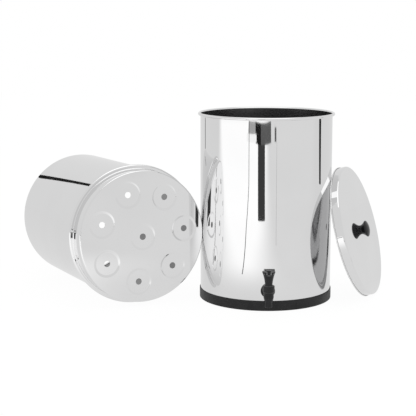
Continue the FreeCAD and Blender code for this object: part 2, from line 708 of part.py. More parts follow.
# The upper chamber rests on its bead and on the edge of its mouth
rest_angle = math.atan2(value("bead_radius - upper_radius"), value("upper_length - bead_offset"))
face_height = value("bead_radius") * math.cos(rest_angle) + value("bead_offset") * math.sin(rest_angle)
bend = value("nest_corner")
sideways = value("nest_radius") - bend + math.sqrt(
    (value("chamber_radius + stand_gap") + bend)**2 - (value("upper_ahead") + bend)**2)
facing = math.radians(value("upper_azimuth"))
upper_place = FreeCAD.Vector(
    -value("upper_ahead") * math.cos(facing) + sideways * math.sin(facing),
    -value("upper_ahead") * math.sin(facing) - sideways * math.cos(facing),
    face_height)
upper.Placement = FreeCAD.Placement(upper_place, FreeCAD.Rotation(
    value("upper_azimuth") + 180, 90 + math.degrees(rest_angle), 0))

# Lid: a shallow pan with a rolled edge, drawn with its face at z = 0 and open below
lid = new_body("lid")
turned(lid, "LidTurn", [
    ("0", "-wall"),
    ("lid_radius - lid_corner", "-wall", "lid_corner - wall", -1),
    ("lid_radius - wall", "-lid_corner"),
    ("lid_radius - wall", "lid_curl - lid_depth", "lid_curl", 2),
    ("lid_curl_axis", "2 * lid_curl - lid_depth"),
    ("lid_curl_axis", "2 * lid_curl - wall - lid_depth", "lid_curl - wall", -2),
    ("lid_radius", "lid_curl - lid_depth"),
    ("lid_radius", "-lid_corner", "lid_corner", 1),
    ("lid_radius - lid_corner", "0"),
    ("0", "0"),
])
screw_hole = attached_sketch(lid, "ScrewHole", "XY_Plane")
ring(screw_hole, "screw_radius + screw_play")
pocketed(lid, "ScrewHoleCut", screw_hole, "4 * wall", both=True)

# Knob: waisted below, flared to a band and domed on top, with a threaded insert
knob = new_body("lid_knob")
turned(knob, "KnobTurn", [
    ("insert_radius + seat_gap", "seat_gap"),
    ("knob_foot", "seat_gap"),
    ("knob_foot", "seat_gap + knob_plinth", "knob_flare", -1),
    ("knob_radius", "knob_edge - knob_band"),
    ("knob_radius", "knob_edge", "(knob_radius ^ 2 + crown ^ 2) / (2 * crown)", 1),
    ("0", "knob_height"),
    ("0", "insert_length + 4 * seat_gap"),
    ("insert_radius + seat_gap", "insert_length + 4 * seat_gap"),
])
insert = washer("knob_insert", "screw_radius + seat_gap", "insert_radius", "2 * seat_gap",
                "insert_length")
gasket = washer("knob_gasket", "screw_radius + screw_play", "gasket_radius",
                "-wall - seat_gap - gasket_thick", "gasket_thick")
disc = washer("knob_washer", "screw_radius + screw_play", "disc_radius", "disc_bottom", "disc_thick")
screw = new_body("knob_screw")
turned(screw, "ScrewTurn", [
    ("0", "head_top - screw_head_thick"),
    ("screw_flat", "head_top - screw_head_thick", "screw_dome", 1),
    ("screw_head", "head_top - screw_rim"),
    ("screw_head", "head_top"),
    ("screw_radius", "head_top"),
    ("screw_radius", "insert_length - screw_radius"),
    ("0", "insert_length - screw_radius"),
])

# The lid stands on its rolled edge and leans on the lower chamber's wall
lean = math.radians(value("lid_tilt"))
faces = math.radians(value("lid_azimuth"))
bearing = math.radians(value("lid_bearing"))
edge_radius = value("lid_curl_axis")
edge_depth = value("lid_depth - lid_curl")
across = FreeCAD.Vector(-math.sin(faces), math.cos(faces), 0)
upward = FreeCAD.Vector(
    -math.sin(lean) * math.cos(faces), -math.sin(lean) * math.sin(faces), math.cos(lean))
outward = FreeCAD.Vector(
    math.cos(lean) * math.cos(faces), math.cos(lean) * math.sin(faces), math.sin(lean))
lid_height = edge_depth * math.sin(lean) + edge_radius * math.cos(lean) + value("lid_curl")


def lid_centre(distance):
    return FreeCAD.Vector(distance * math.cos(bearing), distance * math.sin(bearing), lid_height)


EDGE_POINTS = 1440
HALVINGS = 40


def nearest_edge(distance):
    """Least distance from the upright axis to the lid's rolled edge."""
    best = math.inf
    for number in range(EDGE_POINTS):
        angle = 2 * math.pi * number / EDGE_POINTS
        point = (lid_centre(distance) - outward * edge_depth
                 + (across * math.cos(angle) + upward * math.sin(angle)) * edge_radius)
        best = min(best, math.hypot(point.x, point.y))
    return best - value("lid_curl")


near, far = value("chamber_radius"), value("chamber_radius + 2 * upper_radius")
for _ in range(HALVINGS):
    middle = (near + far) / 2
    if nearest_edge(middle) < value("chamber_radius + stand_gap"):
        near = middle
    else:
        far = middle
lid_place = FreeCAD.Placement(lid_centre(far), FreeCAD.Rotation(
    value("lid_azimuth"), 90 - value("lid_tilt"), 0))
for piece in (lid, knob, insert, gasket, disc, screw):
    piece.Placement = lid_place

doc.recompute()
print(f"upper chamber: face at {tuple(round(x, 2) for x in upper_place)},"
      f" tilt {math.degrees(rest_angle):.3f}")
print(f"lid: face at {tuple(round(x, 2) for x in lid_place.Base)}")

for item in doc.Objects:
    if "Invalid" in item.State or "Error" in item.State:
        raise RuntimeError(f"{item.Label} failed: {item.State}")
for node in NODES:
    if node.Shape.isNull() or not node.Shape.isValid() or len(node.Shape.Solids) != 1:
        raise RuntimeError(f"{node.Label} is not one valid solid")

os.makedirs("parts", exist_ok=True)
for node in NODES:
    node.Shape.exportStep(f"parts/{node.Label}.step")
print(f"{len(NODES)} sub-parts written")
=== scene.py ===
import bmesh
import bpy
import json
import math
from mathutils import Matrix, Vector, geometry


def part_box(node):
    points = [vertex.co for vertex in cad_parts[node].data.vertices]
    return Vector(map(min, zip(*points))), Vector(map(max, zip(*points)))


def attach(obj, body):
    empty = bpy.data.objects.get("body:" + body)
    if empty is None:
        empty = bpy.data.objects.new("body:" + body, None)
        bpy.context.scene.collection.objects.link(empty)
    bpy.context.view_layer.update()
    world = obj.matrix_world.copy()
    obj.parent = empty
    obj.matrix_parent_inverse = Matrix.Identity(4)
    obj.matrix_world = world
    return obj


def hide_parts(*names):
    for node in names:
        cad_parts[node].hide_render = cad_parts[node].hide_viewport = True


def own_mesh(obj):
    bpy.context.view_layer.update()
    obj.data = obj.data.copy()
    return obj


bl_info = {
    "name": "Gravity water filter",
    "version": (1, 0, 0),
    "blender": (4, 5, 0),
    "location": "3D View > Sidebar > Filter",
    "description": "Taken-apart gravity water filter: two chambers, lid, tap and ring foot",
    "category": "Object",
}

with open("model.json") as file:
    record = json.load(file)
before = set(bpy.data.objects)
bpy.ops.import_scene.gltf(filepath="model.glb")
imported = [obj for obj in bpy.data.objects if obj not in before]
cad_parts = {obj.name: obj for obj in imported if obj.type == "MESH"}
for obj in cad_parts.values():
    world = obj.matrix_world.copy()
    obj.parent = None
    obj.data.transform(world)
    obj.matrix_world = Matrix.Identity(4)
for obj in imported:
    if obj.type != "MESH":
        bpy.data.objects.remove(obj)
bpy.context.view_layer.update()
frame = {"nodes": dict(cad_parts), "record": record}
NODE = frame["nodes"]
MM = 0.001


def span(node):
    """Lowest and highest corner of a CAD node in metres."""
    low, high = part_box(node)
    return Vector(low), Vector(high)


LOWER_TOP = span("lower_chamber")[1].z
RING_HIGH = span("base_ring")[1]
SHANK_END = span("tap_body")[1].y
BONNET_LOW, BONNET_HIGH = span("tap_bonnet")
TAP_AXIS_Y = (BONNET_LOW.y + BONNET_HIGH.y) / 2
TAP_PLACE = Matrix.Translation((0, TAP_AXIS_Y, 0))


# Sizes and colours

def length(name, description, millimetres):
    """Length property with its default in millimetres."""
    return bpy.props.FloatProperty(
        name=name, description=description, default=millimetres * MM, unit="LENGTH", precision=5)


def angle(name, description, degrees):
    """Angle property with its default in degrees."""
    return bpy.props.FloatProperty(
        name=name, description=description, default=math.radians(degrees), unit="ROTATION")


def colour(name, description, value):
    """Colour property."""
    return bpy.props.FloatVectorProperty(
        name=name, description=description, default=value, subtype="COLOR", size=4, min=0, max=1)


class FilterSizes(bpy.types.PropertyGroup):
    """Sizes of the vessels and the tap."""
    wall: length("Sheet", "Thickness of the steel sheet", 0.8)
    chamber_radius: length("Chamber radius", "Outside radius of the standing chamber", 139.7)
    floor_height: length("Bottom", "Underside of the standing chamber's bottom", 4.0)
    corner: length("Bend", "Outside bend at the standing chamber's bottom", 4.0)
    curl: length("Lip", "Outside radius of the rolled lip", 3.0)
    upper_radius: length("Upper radius", "Outside radius of the lying chamber", 139.0)
    upper_length: length("Upper length", "Bottom to mouth", 372.8)
    nest_radius: length("Nesting radius", "Outside radius below the bead", 138.0)
    nest_corner: length("Nesting bend", "Outside bend at the lying chamber's bottom", 3.0)
    bead_radius: length("Bead", "Outside radius of the bead", 146.4)
    bead_offset: length("Bead's place", "Bottom to the middle of the bead", 42.7)
    bead_section: length("Bead's section", "Outside radius of the bead's section", 3.7)
    hem: length("Hem", "Folded edge at the mouth", 8.0)
    hole_circle: length("Hole circle", "Diameter of the circle of element holes", 188.5)
    hole_radius: length("Element hole", "Radius of an element hole", 6.5)
    hole_turn: angle("First hole", "Turn of the first hole", 109.3)
    hole_count: bpy.props.IntProperty(name="Holes", description="Holes on the circle", default=7)
    dish_radius: length("Seat", "Outer radius of a pressed seat", 29.0)
    dish_side: length("Seat side", "Width of a pressed seat's sloping side", 5.6)
    dish_depth: length("Seat depth", "Depth of a pressed seat", 1.2)
    crown: length("Crown", "How far the middle of the pressed bottom stands out", 1.6)
    upper_face: bpy.props.FloatVectorProperty(
        name="Upper place", description="Middle of the lying chamber's bottom",
        default=(-0.25812, -0.09865, 0.14732), subtype="TRANSLATION")
    upper_azimuth: angle("Upper azimuth", "Way that the bottom faces", -63.83)
    upper_fall: angle("Upper fall", "Fall of the axis towards the mouth", 1.284)
    lid_face: bpy.props.FloatVectorProperty(
        name="Lid place", description="Middle of the lid's face",
        default=(0.20664, 0.01257, 0.14206), subtype="TRANSLATION")
    lid_azimuth: angle("Lid azimuth", "Way that the lid faces", -19.44)
    lid_tilt: angle("Lid tilt", "How far the lid faces upwards", 15.43)
    lid_radius: length("Lid radius", "Outside radius of the lid's band", 140.6)
    lid_depth: length("Lid depth", "Face to open edge", 18.8)
    lid_corner: length("Lid bend", "Outside bend of the lid", 3.6)
    lid_curl: length("Lid edge", "Outside radius of the rolled edge", 1.35)
    knob_radius: length("Knob", "Radius of the knob's edge", 17.5)
    knob_foot: length("Knob foot", "Radius of the knob on the lid", 9.8)
    knob_edge: length("Knob edge", "Lid to the knob's widest edge", 14.3)
    knob_height: length("Knob height", "Lid to the knob's crown", 18.8)
    shank_height: length("Shank height", "Height of the tap's shank", 43.5)
    shank_radius: length("Shank", "Radius of the shank over its thread", 8.0)
    shank_pitch: length("Shank pitch", "Pitch of the shank's thread", 1.8)
    screw_radius: length("Screw", "Radius of the knob's screw over its thread", 2.0)
    screw_pitch: length("Screw pitch", "Pitch of the knob's screw", 0.7)
    hinge_height: length("Pin height", "Height of the lever's pin", 89.0)
    hinge_ahead: length("Pin ahead", "Lever's pin ahead of the stem", 6.5)
    paddle_width: length("Paddle width", "Width of the lever's paddle", 20.6)
    paddle_length: length("Paddle length", "Paddle ahead of its pin", 36.0)
    paddle_back: length("Paddle back", "Paddle behind its pin", 3.4)
    paddle_thick: length("Paddle thickness", "Thickness of the paddle", 4.4)
    paddle_drop: length("Paddle height", "Pin to the paddle's underside", 6.2)
    paddle_slope: angle("Paddle slope", "How far the paddle rises to the front", 12.0)
    paddle_corner: length("Paddle corner", "Corners of the paddle in plan", 5.0)
    spring_radius: length("Spring", "Closing spring at the middle of its wire", 3.8)
    spring_wire: length("Spring wire", "Radius of the closing spring's wire", 0.35)
    spring_turns: bpy.props.IntProperty(
        name="Spring turns", description="Turns of the closing spring", default=6, min=3)
    valve_travel: length("Valve travel", "How far the stem rises", 2.7)


class FilterColours(bpy.types.PropertyGroup):
    """Base colours of the finishes."""
    steel: colour("Steel", "Polished sheet", (0.82, 0.82, 0.822, 1))
    # Inside of both chambers: a real satin finish, but its very dark base colour is also painted
    # shade for the shade inside the chambers
    satin_and_shade: colour("Satin steel", "Inside of both chambers", (0.21, 0.21, 0.212, 1))
    lid_inside: colour("Lid inside", "Inside of the lid", (0.55, 0.55, 0.555, 1))
    plain_steel: colour("Plain steel", "Pins, washers and springs", (0.55, 0.55, 0.56, 1))
    black: colour("Black", "Moulded tap and knob", (0.008, 0.008, 0.009, 1))
    rubber: colour("Rubber", "Ring foot and washers", (0.011, 0.011, 0.0115, 1))
    white: colour("White", "Valve stem", (0.78, 0.78, 0.75, 1))
    silicone: colour("Silicone", "Seat cup and seal", (0.62, 0.61, 0.57, 1))
    brass: colour("Brass", "Threaded insert", (0.72, 0.55, 0.27, 1))
    studio: colour("Studio", "Floor and walls of the studio", (0.93, 0.93, 0.93, 1))


# Nodes used in every kind of tree

FLOAT, COLOUR = "NodeSocketFloat", "NodeSocketColor"


def feed(tree, value, socket):
    """Link a node's output to a socket, or set the socket to a plain value."""
    if isinstance(value, bpy.types.NodeSocket):
        tree.links.new(value, socket)
    else:
        socket.default_value = value


def calculated(tree, operation, first, second):
    """Math node on two values."""
    node = tree.nodes.new("ShaderNodeMath")
    node.operation = operation
    for socket, value in zip(node.inputs, (first, second)):
        feed(tree, value, socket)
    return node.outputs["Value"]


def mapped(tree, value, begin, end, low, high, kind="LINEAR"):
    """Map Range node from begin and end to low and high."""
    node = tree.nodes.new("ShaderNodeMapRange")
    node.interpolation_type = kind
    labels = ("Value", "From Min", "From Max", "To Min", "To Max")
    for label, setting in zip(labels, (value, begin, end, low, high)):
        feed(tree, setting, node.inputs[label])
    return node.outputs["Result"]


def mixed_colour(tree, factor, first, second, blend="MIX"):
    """Mix node on two colours."""
    node = tree.nodes.new("ShaderNodeMix")
    node.data_type = "RGBA"
    node.blend_type = blend
    for label, value in (("Factor", factor), ("A", first), ("B", second)):
        feed(tree, value, node.inputs[label])
    return node.outputs["Result"]


# Shader groups shared by the finishes

NOISE_LOW, NOISE_HIGH = 0.3, 0.7        # where most of a noise texture's values lie
EDGE_BEGIN, EDGE_FULL = 0.52, 0.6       # pointiness of a rubbed edge
EDGE_WEAR = 0.35
RUBBED_GAIN, RUBBED_LIFT = 1.5, 0.012   # how much paler a rubbed edge is
DUST = (0.045, 0.045, 0.047, 1)
WAVE_SCALE, WAVE_STRETCH = 5.0, (1.0, 1.0, 0.5)     # slow waves of a polished sheet
HAZE_TONE = 0.97        # tone of the polish where its haze is thickest
PATCH_SCALE = 60.0      # dull patches of a moulding
METAL_RELIEF, MOULDED_RELIEF = 1.0 * MM, 0.2 * MM
MOULDED_SPECULAR = 0.3


def group_with(name, inputs, outputs):
    """New shader group with named sockets, what its input node gives and its output node takes."""
    tree = bpy.data.node_groups.new(name, "ShaderNodeTree")
    for label, kind, default in inputs:
        tree.interface.new_socket(label, in_out="INPUT", socket_type=kind).default_value = default
    for label, kind in outputs:
        tree.interface.new_socket(label, in_out="OUTPUT", socket_type=kind)
    return tree, tree.nodes.new("NodeGroupInput").outputs, tree.nodes.new("NodeGroupOutput").inputs


def noise(tree, vector, scale, detail, stretch=None):
    """Noise texture on a vector, with an optional stretch."""
    texture = tree.nodes.new("ShaderNodeTexNoise")
    texture.inputs["Detail"].default_value = detail
    feed(tree, scale, texture.inputs["Scale"])
    if stretch is not None:
        mapping = tree.nodes.new("ShaderNodeMapping")
        mapping.inputs["Scale"].default_value = stretch
        tree.links.new(vector, mapping.inputs["Vector"])
        vector = mapping.outputs["Vector"]
    tree.links.new(vector, texture.inputs["Vector"])
    return texture.outputs["Fac"]


def ranged(tree, value, low, high):
    """Spread a noise over a range."""
    return mapped(tree, value, NOISE_LOW, NOISE_HIGH, low, high)


def polish_group():
    """Faint haze and hand marks of a polished sheet: a roughness and a very low relief."""
    tree, given, out = group_with(
        "Polish haze",
        [("Least roughness", FLOAT, 0.04), ("Most roughness", FLOAT, 0.09), ("Scale", FLOAT, 9.0)],
        [("Roughness", FLOAT), ("Relief", FLOAT), ("Tone", FLOAT)])
    place = tree.nodes.new("ShaderNodeTexCoord").outputs["Object"]
    haze = noise(tree, place, given["Scale"], detail=4.0)
    roughness = ranged(tree, haze, given["Least roughness"], given["Most roughness"])
    feed(tree, roughness, out["Roughness"])
    waves = noise(tree, place, WAVE_SCALE, detail=1.0, stretch=WAVE_STRETCH)
    feed(tree, waves, out["Relief"])
    feed(tree, ranged(tree, haze, HAZE_TONE, 1.0), out["Tone"])
    return tree


def moulding_group():
    """Moulded plastic or rubber: fine grain relief, dull patches and a slightly dusty tone."""
    tree, given, out = group_with(
        "Moulded grain",
        [("Colour", COLOUR, (0.02, 0.02, 0.02, 1)), ("Dust", FLOAT, 0.2),
         ("Least roughness", FLOAT, 0.25), ("Most roughness", FLOAT, 0.4),
         ("Grain scale", FLOAT, 900.0)],
        [("Colour", COLOUR), ("Roughness", FLOAT), ("Relief", FLOAT)])
    place = tree.nodes.new("ShaderNodeTexCoord").outputs["Object"]
    patches = noise(tree, place, PATCH_SCALE, detail=3.0)
    dust = calculated(tree, "MULTIPLY", ranged(tree, patches, 0.0, 1.0), given["Dust"])
    roughness = ranged(tree, patches, given["Least roughness"], given["Most roughness"])
    feed(tree, roughness, out["Roughness"])
    feed(tree, mixed_colour(tree, dust, given["Colour"], DUST), out["Colour"])
    feed(tree, noise(tree, place, given["Grain scale"], detail=2.0), out["Relief"])
    return tree


def edge_group():
    """Rubbed edges: a mask where the mesh turns outwards."""
    tree, given, out = group_with("Rubbed edges", [("Amount", FLOAT, 0.5)], [("Mask", FLOAT)])
    pointiness = tree.nodes.new("ShaderNodeNewGeometry").outputs["Pointiness"]
    mask = mapped(tree, pointiness, EDGE_BEGIN, EDGE_FULL, 0.0, 1.0)
    feed(tree, calculated(tree, "MULTIPLY", mask, given["Amount"]), out["Mask"])
    return tree


def placed(tree, group, **values):
    """Outputs of a group node with its own values in a material's tree."""
    node = tree.nodes.new("ShaderNodeGroup")
    node.node_tree = group
    for label, value in values.items():
        node.inputs[label.replace("_", " ")].default_value = value
    return node.outputs


def bumped(tree, relief, shader, strength, distance):
    """Bump node between a relief and the shader's normal."""
    bump = tree.nodes.new("ShaderNodeBump")
    bump.inputs["Strength"].default_value = strength
    bump.inputs["Distance"].default_value = distance
    tree.links.new(relief, bump.inputs["Height"])
    tree.links.new(bump.outputs["Normal"], shader.inputs["Normal"])


def finish_of(name, tint=(0.8, 0.8, 0.8, 1)):
    """New material with a colour for the viewport, its tree and its Principled shader."""
    material = bpy.data.materials.new(name)
    material.use_nodes = True
    material.diffuse_color = tint
    return material, material.node_tree, material.node_tree.nodes["Principled BSDF"]


def metal(name, tint, haze, roughness, relief, metallic=1.0):
    """Bare metal with the polish group's roughness."""
    material, tree, shader = finish_of(name, tint)
    group = placed(tree, haze, Least_roughness=roughness[0], Most_roughness=roughness[1])
    toned = mixed_colour(tree, 1.0, tint, group["Tone"], "MULTIPLY")
    feed(tree, toned, shader.inputs["Base Color"])
    feed(tree, group["Roughness"], shader.inputs["Roughness"])
    shader.inputs["Metallic"].default_value = metallic
    bumped(tree, group["Relief"], shader, relief, METAL_RELIEF)
    return material


def moulded(name, tint, grain, edges, roughness, dust, relief, scale):
    """Moulded plastic or rubber with the moulding group's grain and slightly rubbed edges."""
    material, tree, shader = finish_of(name, tint)
    group = placed(tree, grain, Colour=tint, Dust=dust, Least_roughness=roughness[0],
                   Most_roughness=roughness[1], Grain_scale=scale)
    wear = placed(tree, edges, Amount=EDGE_WEAR)
    rubbed = [channel * RUBBED_GAIN + RUBBED_LIFT for channel in tint[:3]] + [1]
    worn = mixed_colour(tree, wear["Mask"], group["Colour"], rubbed)
    feed(tree, worn, shader.inputs["Base Color"])
    feed(tree, group["Roughness"], shader.inputs["Roughness"])
    shader.inputs["Specular IOR Level"].default_value = MOULDED_SPECULAR
    bumped(tree, group["Relief"], shader, relief, MOULDED_RELIEF)
    return material


def make_finishes(colours):
    """All finishes by the names of their slots."""
    haze, grain, edges = polish_group(), moulding_group(), edge_group()
    finishes = {
        "polished_steel": metal("polished_steel", colours.steel, haze, (0.012, 0.03), relief=0.02),
        # Inside of the chambers: rougher satin steel whose darkened base colour is partly painted
        # shade
        "vessel_inside": metal("vessel_inside", colours.satin_and_shade, haze, (0.12, 0.24), relief=0.1,
                               metallic=0.9),
        "lid_inside": metal("lid_inside", colours.lid_inside, haze, (0.08, 0.16), relief=0.08),
        "plain_steel": metal("plain_steel", colours.plain_steel, haze, (0.22, 0.36), relief=0.05),
        "brass": metal("turned_brass", colours.brass, haze, (0.2, 0.3), relief=0.05),
    }
    # Slot, colour, least and most roughness, dust, relief, scale of the grain
    for name, tint, roughness, dust, relief, scale in (
            ("black_plastic", colours.black, (0.22, 0.34), 0.25, 0.25, 900.0),
            ("knob_plastic", colours.black, (0.08, 0.16), 0.1, 0.08, 900.0),
            ("ring_rubber", colours.rubber, (0.38, 0.52), 0.35, 0.3, 700.0),
            ("washer_rubber", colours.rubber, (0.5, 0.65), 0.3, 0.3, 900.0),
            ("white_plastic", colours.white, (0.3, 0.4), 0.05, 0.15, 900.0),
            ("silicone", colours.silicone, (0.35, 0.5), 0.05, 0.15, 900.0)):
        finishes[name] = moulded(name, tint, grain, edges, roughness, dust, relief, scale)
    return finishes


FINISH = {}     # finishes by the names of their slots, once they are made


# Mesh helpers

WELD = 1e-7     # points nearer than this are one
RIM_SEGMENTS, MOULD_SEGMENTS = 256, 96


def arc(x, z, radius, begin, end, count=12):
    """Points of an arc in a profile, with angles in degrees."""
    steps = [math.radians(begin + (end - begin) * step / count) for step in range(count + 1)]
    return [(x + radius * math.cos(turn), z + radius * math.sin(turn)) for turn in steps]


def turns(count):
    """Angles of an even division of a circle."""
    return [2 * math.pi * step / count for step in range(count)]


def held(points, closed=True, hold=0.6 * MM):
    """Profile with a point beside each end of its long runs, so that smooth shading stays flat."""
    result = []
    ends = points[1:] + (points[:1] if closed else [])
    for (x0, z0), (x1, z1) in zip(points, ends):
        result.append((x0, z0))
        run = math.hypot(x1 - x0, z1 - z0)
        if run > 5 * hold:
            share = hold / run
            result.append((x0 + (x1 - x0) * share, z0 + (z1 - z0) * share))
            result.append((x1 - (x1 - x0) * share, z1 - (z1 - z0) * share))
    if not closed:
        result.append(points[-1])
    return result


def lathe_mesh(profile, segments, closed=True):
    """Mesh turned about Z from a profile of (radius, height), poles welded."""
    mesh = bmesh.new()
    rings = []
    for radius, height in profile:
        if radius < WELD:
            rings.append([mesh.verts.new((0, 0, height))])
        else:
            rings.append([mesh.verts.new((radius * math.cos(turn), radius * math.sin(turn), height))
                          for turn in turns(segments)])
    pairs = list(zip(rings, rings[1:])) + ([(rings[-1], rings[0])] if closed else [])
    for low, high in pairs:
        for step in range(segments):
            after = (step + 1) % segments
            corners = [low[step % len(low)], low[after % len(low)],
                       high[after % len(high)], high[step % len(high)]]
            unique = list(dict.fromkeys(corners))
            if len(unique) > 2:
                mesh.faces.new(unique)
    bmesh.ops.remove_doubles(mesh, verts=mesh.verts, dist=WELD)
    bmesh.ops.recalc_face_normals(mesh, faces=mesh.faces)
    return mesh


def data_of(mesh, name):
    """Mesh data from a bmesh, which is freed."""
    data = bpy.data.meshes.new(name)
    mesh.to_mesh(data)
    mesh.free()
    return data


def object_of(mesh, name):
    """Object in the scene from a bmesh."""
    obj = bpy.data.objects.new(name, data_of(mesh, name))
    bpy.context.scene.collection.objects.link(obj)
    return obj


def finished(obj, finish, body, nodes=(), sharp=35):
    """Give an object its finish, its body and the nodes that it stands for."""
    kept = [polygon.material_index for polygon in obj.data.polygons]
    obj.data.materials.clear()
    obj.data.materials.append(FINISH[finish])
    obj.data.polygons.foreach_set("material_index", kept)
    obj.data.shade_smooth()
    obj.data.set_sharp_from_angle(angle=math.radians(sharp))
    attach(obj, body)
    if nodes:
        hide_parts(*nodes)
    return obj


def piece(name, mesh, finish, body, nodes=(), place=None, sharp=35, inside=None,
          lining="vessel_inside"):
    """Finished object at the origin from a bmesh, with a lining on the faces that are inside."""
    mesh.normal_update()
    if inside is not None:
        for face in mesh.faces:
            face.material_index = int(inside(face))
    if place is not None:
        mesh.transform(place)
    obj = finished(object_of(mesh, name), finish, body, nodes, sharp)
    if inside is not None:
        obj.data.materials.append(FINISH[lining])
    return obj


def towards_axis(face):
    """Whether a lathed face looks at the axis."""
    middle = face.calc_center_median()
    return face.normal.dot(Vector((middle.x, middle.y, 0)).normalized()) < -0.5


def inner_side(base, top, rise=3 * MM):
    """Test for a vessel's inner faces, between its base sheet and a height under its rim."""
    def test(face):
        height = face.calc_center_median().z
        on_base = face.normal.z > 0.5 and height < base + rise
        return base < height < top and (towards_axis(face) or on_base)
    return test


def settled(obj):
    """Object's modifiers made into its plain mesh."""
    graph = bpy.context.evaluated_depsgraph_get()
    data = bpy.data.meshes.new_from_object(obj.evaluated_get(graph), depsgraph=graph)
    obj.modifiers.clear()
    obj.data = data
    return obj


def turned(name, profile, finish, body, nodes=(), place=None, segments=RIM_SEGMENTS, sharp=35,
           **lined):
    """Finished object turned from a closed profile."""
    mesh = lathe_mesh(held(profile), segments)
    return piece(name, mesh, finish, body, nodes, place, sharp, **lined)


# Geometry Nodes: what repeats or winds

def geometry_tree(name, inputs):
    """New geometry tree with named inputs and one Geometry output."""
    tree = bpy.data.node_groups.new(name, "GeometryNodeTree")
    sockets = [("Geometry", "NodeSocketGeometry"), *inputs, ("Material", "NodeSocketMaterial")]
    for label, kind in sockets:
        tree.interface.new_socket(label, in_out="INPUT", socket_type=kind)
    tree.interface.new_socket("Geometry", in_out="OUTPUT", socket_type="NodeSocketGeometry")
    return tree, tree.nodes.new("NodeGroupInput").outputs


def wired(tree, kind, **links):
    """New node with its input sockets linked or set by name."""
    node = tree.nodes.new(kind)
    for label, value in links.items():
        socket = next(i for i in node.inputs if i.name == label.replace("_", " ") and i.enabled)
        feed(tree, value, socket)
    return node


def close_tree(tree, geometry_socket, material):
    """End a tree in Realize Instances and Set Material."""
    real = wired(tree, "GeometryNodeRealizeInstances", Geometry=geometry_socket)
    dressed = wired(tree, "GeometryNodeSetMaterial", Geometry=real.outputs["Geometry"],
                    Material=material)
    out = tree.nodes.new("NodeGroupOutput")
    tree.links.new(dressed.outputs["Geometry"], out.inputs["Geometry"])


def seats_tree():
    """One seat at the middle and the others round a circle."""
    tree, given = geometry_tree("Seats on a circle", [
        ("Count", "NodeSocketInt"), ("Circle", FLOAT), ("Turn", FLOAT)])
    circle = tree.nodes.new("GeometryNodeMeshCircle")
    tree.links.new(given["Count"], circle.inputs["Vertices"])
    tree.links.new(calculated(tree, "MULTIPLY", given["Circle"], 0.5), circle.inputs["Radius"])
    turn = wired(tree, "ShaderNodeCombineXYZ", Z=given["Turn"])
    placed_circle = wired(tree, "GeometryNodeTransform", Geometry=circle.outputs["Mesh"],
                          Rotation=turn.outputs["Vector"])
    middle = wired(tree, "GeometryNodePoints", Count=1)
    places = tree.nodes.new("GeometryNodeJoinGeometry")
    tree.links.new(placed_circle.outputs["Geometry"], places.inputs["Geometry"])
    tree.links.new(middle.outputs["Points"], places.inputs["Geometry"])
    copies = wired(tree, "GeometryNodeInstanceOnPoints", Points=places.outputs["Geometry"],
                   Instance=given["Geometry"])
    close_tree(tree, copies.outputs["Instances"], given["Material"])
    return tree


def thread_tree():
    """Crest of a screw thread, wound up a shank from z = 0."""
    tree, given = geometry_tree("Thread crest", [
        ("Radius", FLOAT), ("Pitch", FLOAT), ("Length", FLOAT), ("Crest", FLOAT)])
    root = calculated(tree, "SUBTRACT", given["Radius"], given["Crest"])
    rounds = calculated(tree, "DIVIDE", given["Length"], given["Pitch"])
    spiral = wired(tree, "GeometryNodeCurveSpiral", Resolution=48, Start_Radius=root,
                   End_Radius=root, Height=given["Length"], Rotations=rounds)
    upright = wired(tree, "GeometryNodeSetCurveNormal", Curve=spiral.outputs["Curve"])
    upright.mode = "Z_UP"
    section = wired(tree, "GeometryNodeCurvePrimitiveCircle", Resolution=4, Radius=given["Crest"])
    swept = wired(tree, "GeometryNodeCurveToMesh", Curve=upright.outputs["Curve"],
                  Profile_Curve=section.outputs["Curve"], Fill_Caps=True)
    close_tree(tree, swept.outputs["Mesh"], given["Material"])
    return tree


def grown(name, tree, finish, seed_mesh=None, **values):
    """Plain mesh that a geometry tree makes, from named inputs."""
    holder = bpy.data.objects.new(name, seed_mesh or bpy.data.meshes.new(name))
    bpy.context.scene.collection.objects.link(holder)
    modifier = holder.modifiers.new(name, "NODES")
    modifier.node_group = tree
    values["Material"] = FINISH[finish]
    for item in tree.interface.items_tree:
        if item.in_out == "INPUT" and item.name in values:
            modifier[item.identifier] = values[item.name]
    settled(holder)
    data = holder.data
    bpy.data.objects.remove(holder)
    return data


def threaded(name, radius, pitch, reach, crest, finish, body, place):
    """Thread crest as a piece of its own on a shank."""
    data = grown(name, thread_tree(), finish, Radius=radius, Pitch=pitch, Length=reach, Crest=crest)
    mesh = bmesh.new()
    mesh.from_mesh(data)
    bmesh.ops.recalc_face_normals(mesh, faces=mesh.faces)
    return piece(name, mesh, finish, body, place=place, sharp=50)


def upper_place(sizes):
    """Matrix from the upper chamber's own axis to where it lies."""
    azimuth = sizes.upper_azimuth + math.pi
    fall = Matrix.Rotation(math.pi / 2 + sizes.upper_fall, 4, "Y")
    return Matrix.Translation(sizes.upper_face) @ Matrix.Rotation(azimuth, 4, "Z") @ fall


def lid_place(sizes):
    """Matrix from the lid's own axis to where it leans."""
    lean = Matrix.Rotation(math.pi / 2 - sizes.lid_tilt, 4, "Y")
    return Matrix.Translation(sizes.lid_face) @ Matrix.Rotation(sizes.lid_azimuth, 4, "Z") @ lean


# Operators: one for each piece or group of like pieces

class WATERFILTER_OT_finishes(bpy.types.Operator):
    """Make the finishes that every piece uses"""
    bl_idname = "waterfilter.finishes"
    bl_label = "Make finishes"

    def execute(self, context):
        FINISH.update(make_finishes(context.scene.filter_colours))
        finish = {part["node"]: part["material_slot"] for part in frame["record"]["subparts"]}
        for node, obj in NODE.items():
            for slot in obj.material_slots:
                slot.material = FINISH[finish[node]]
        return {"FINISHED"}


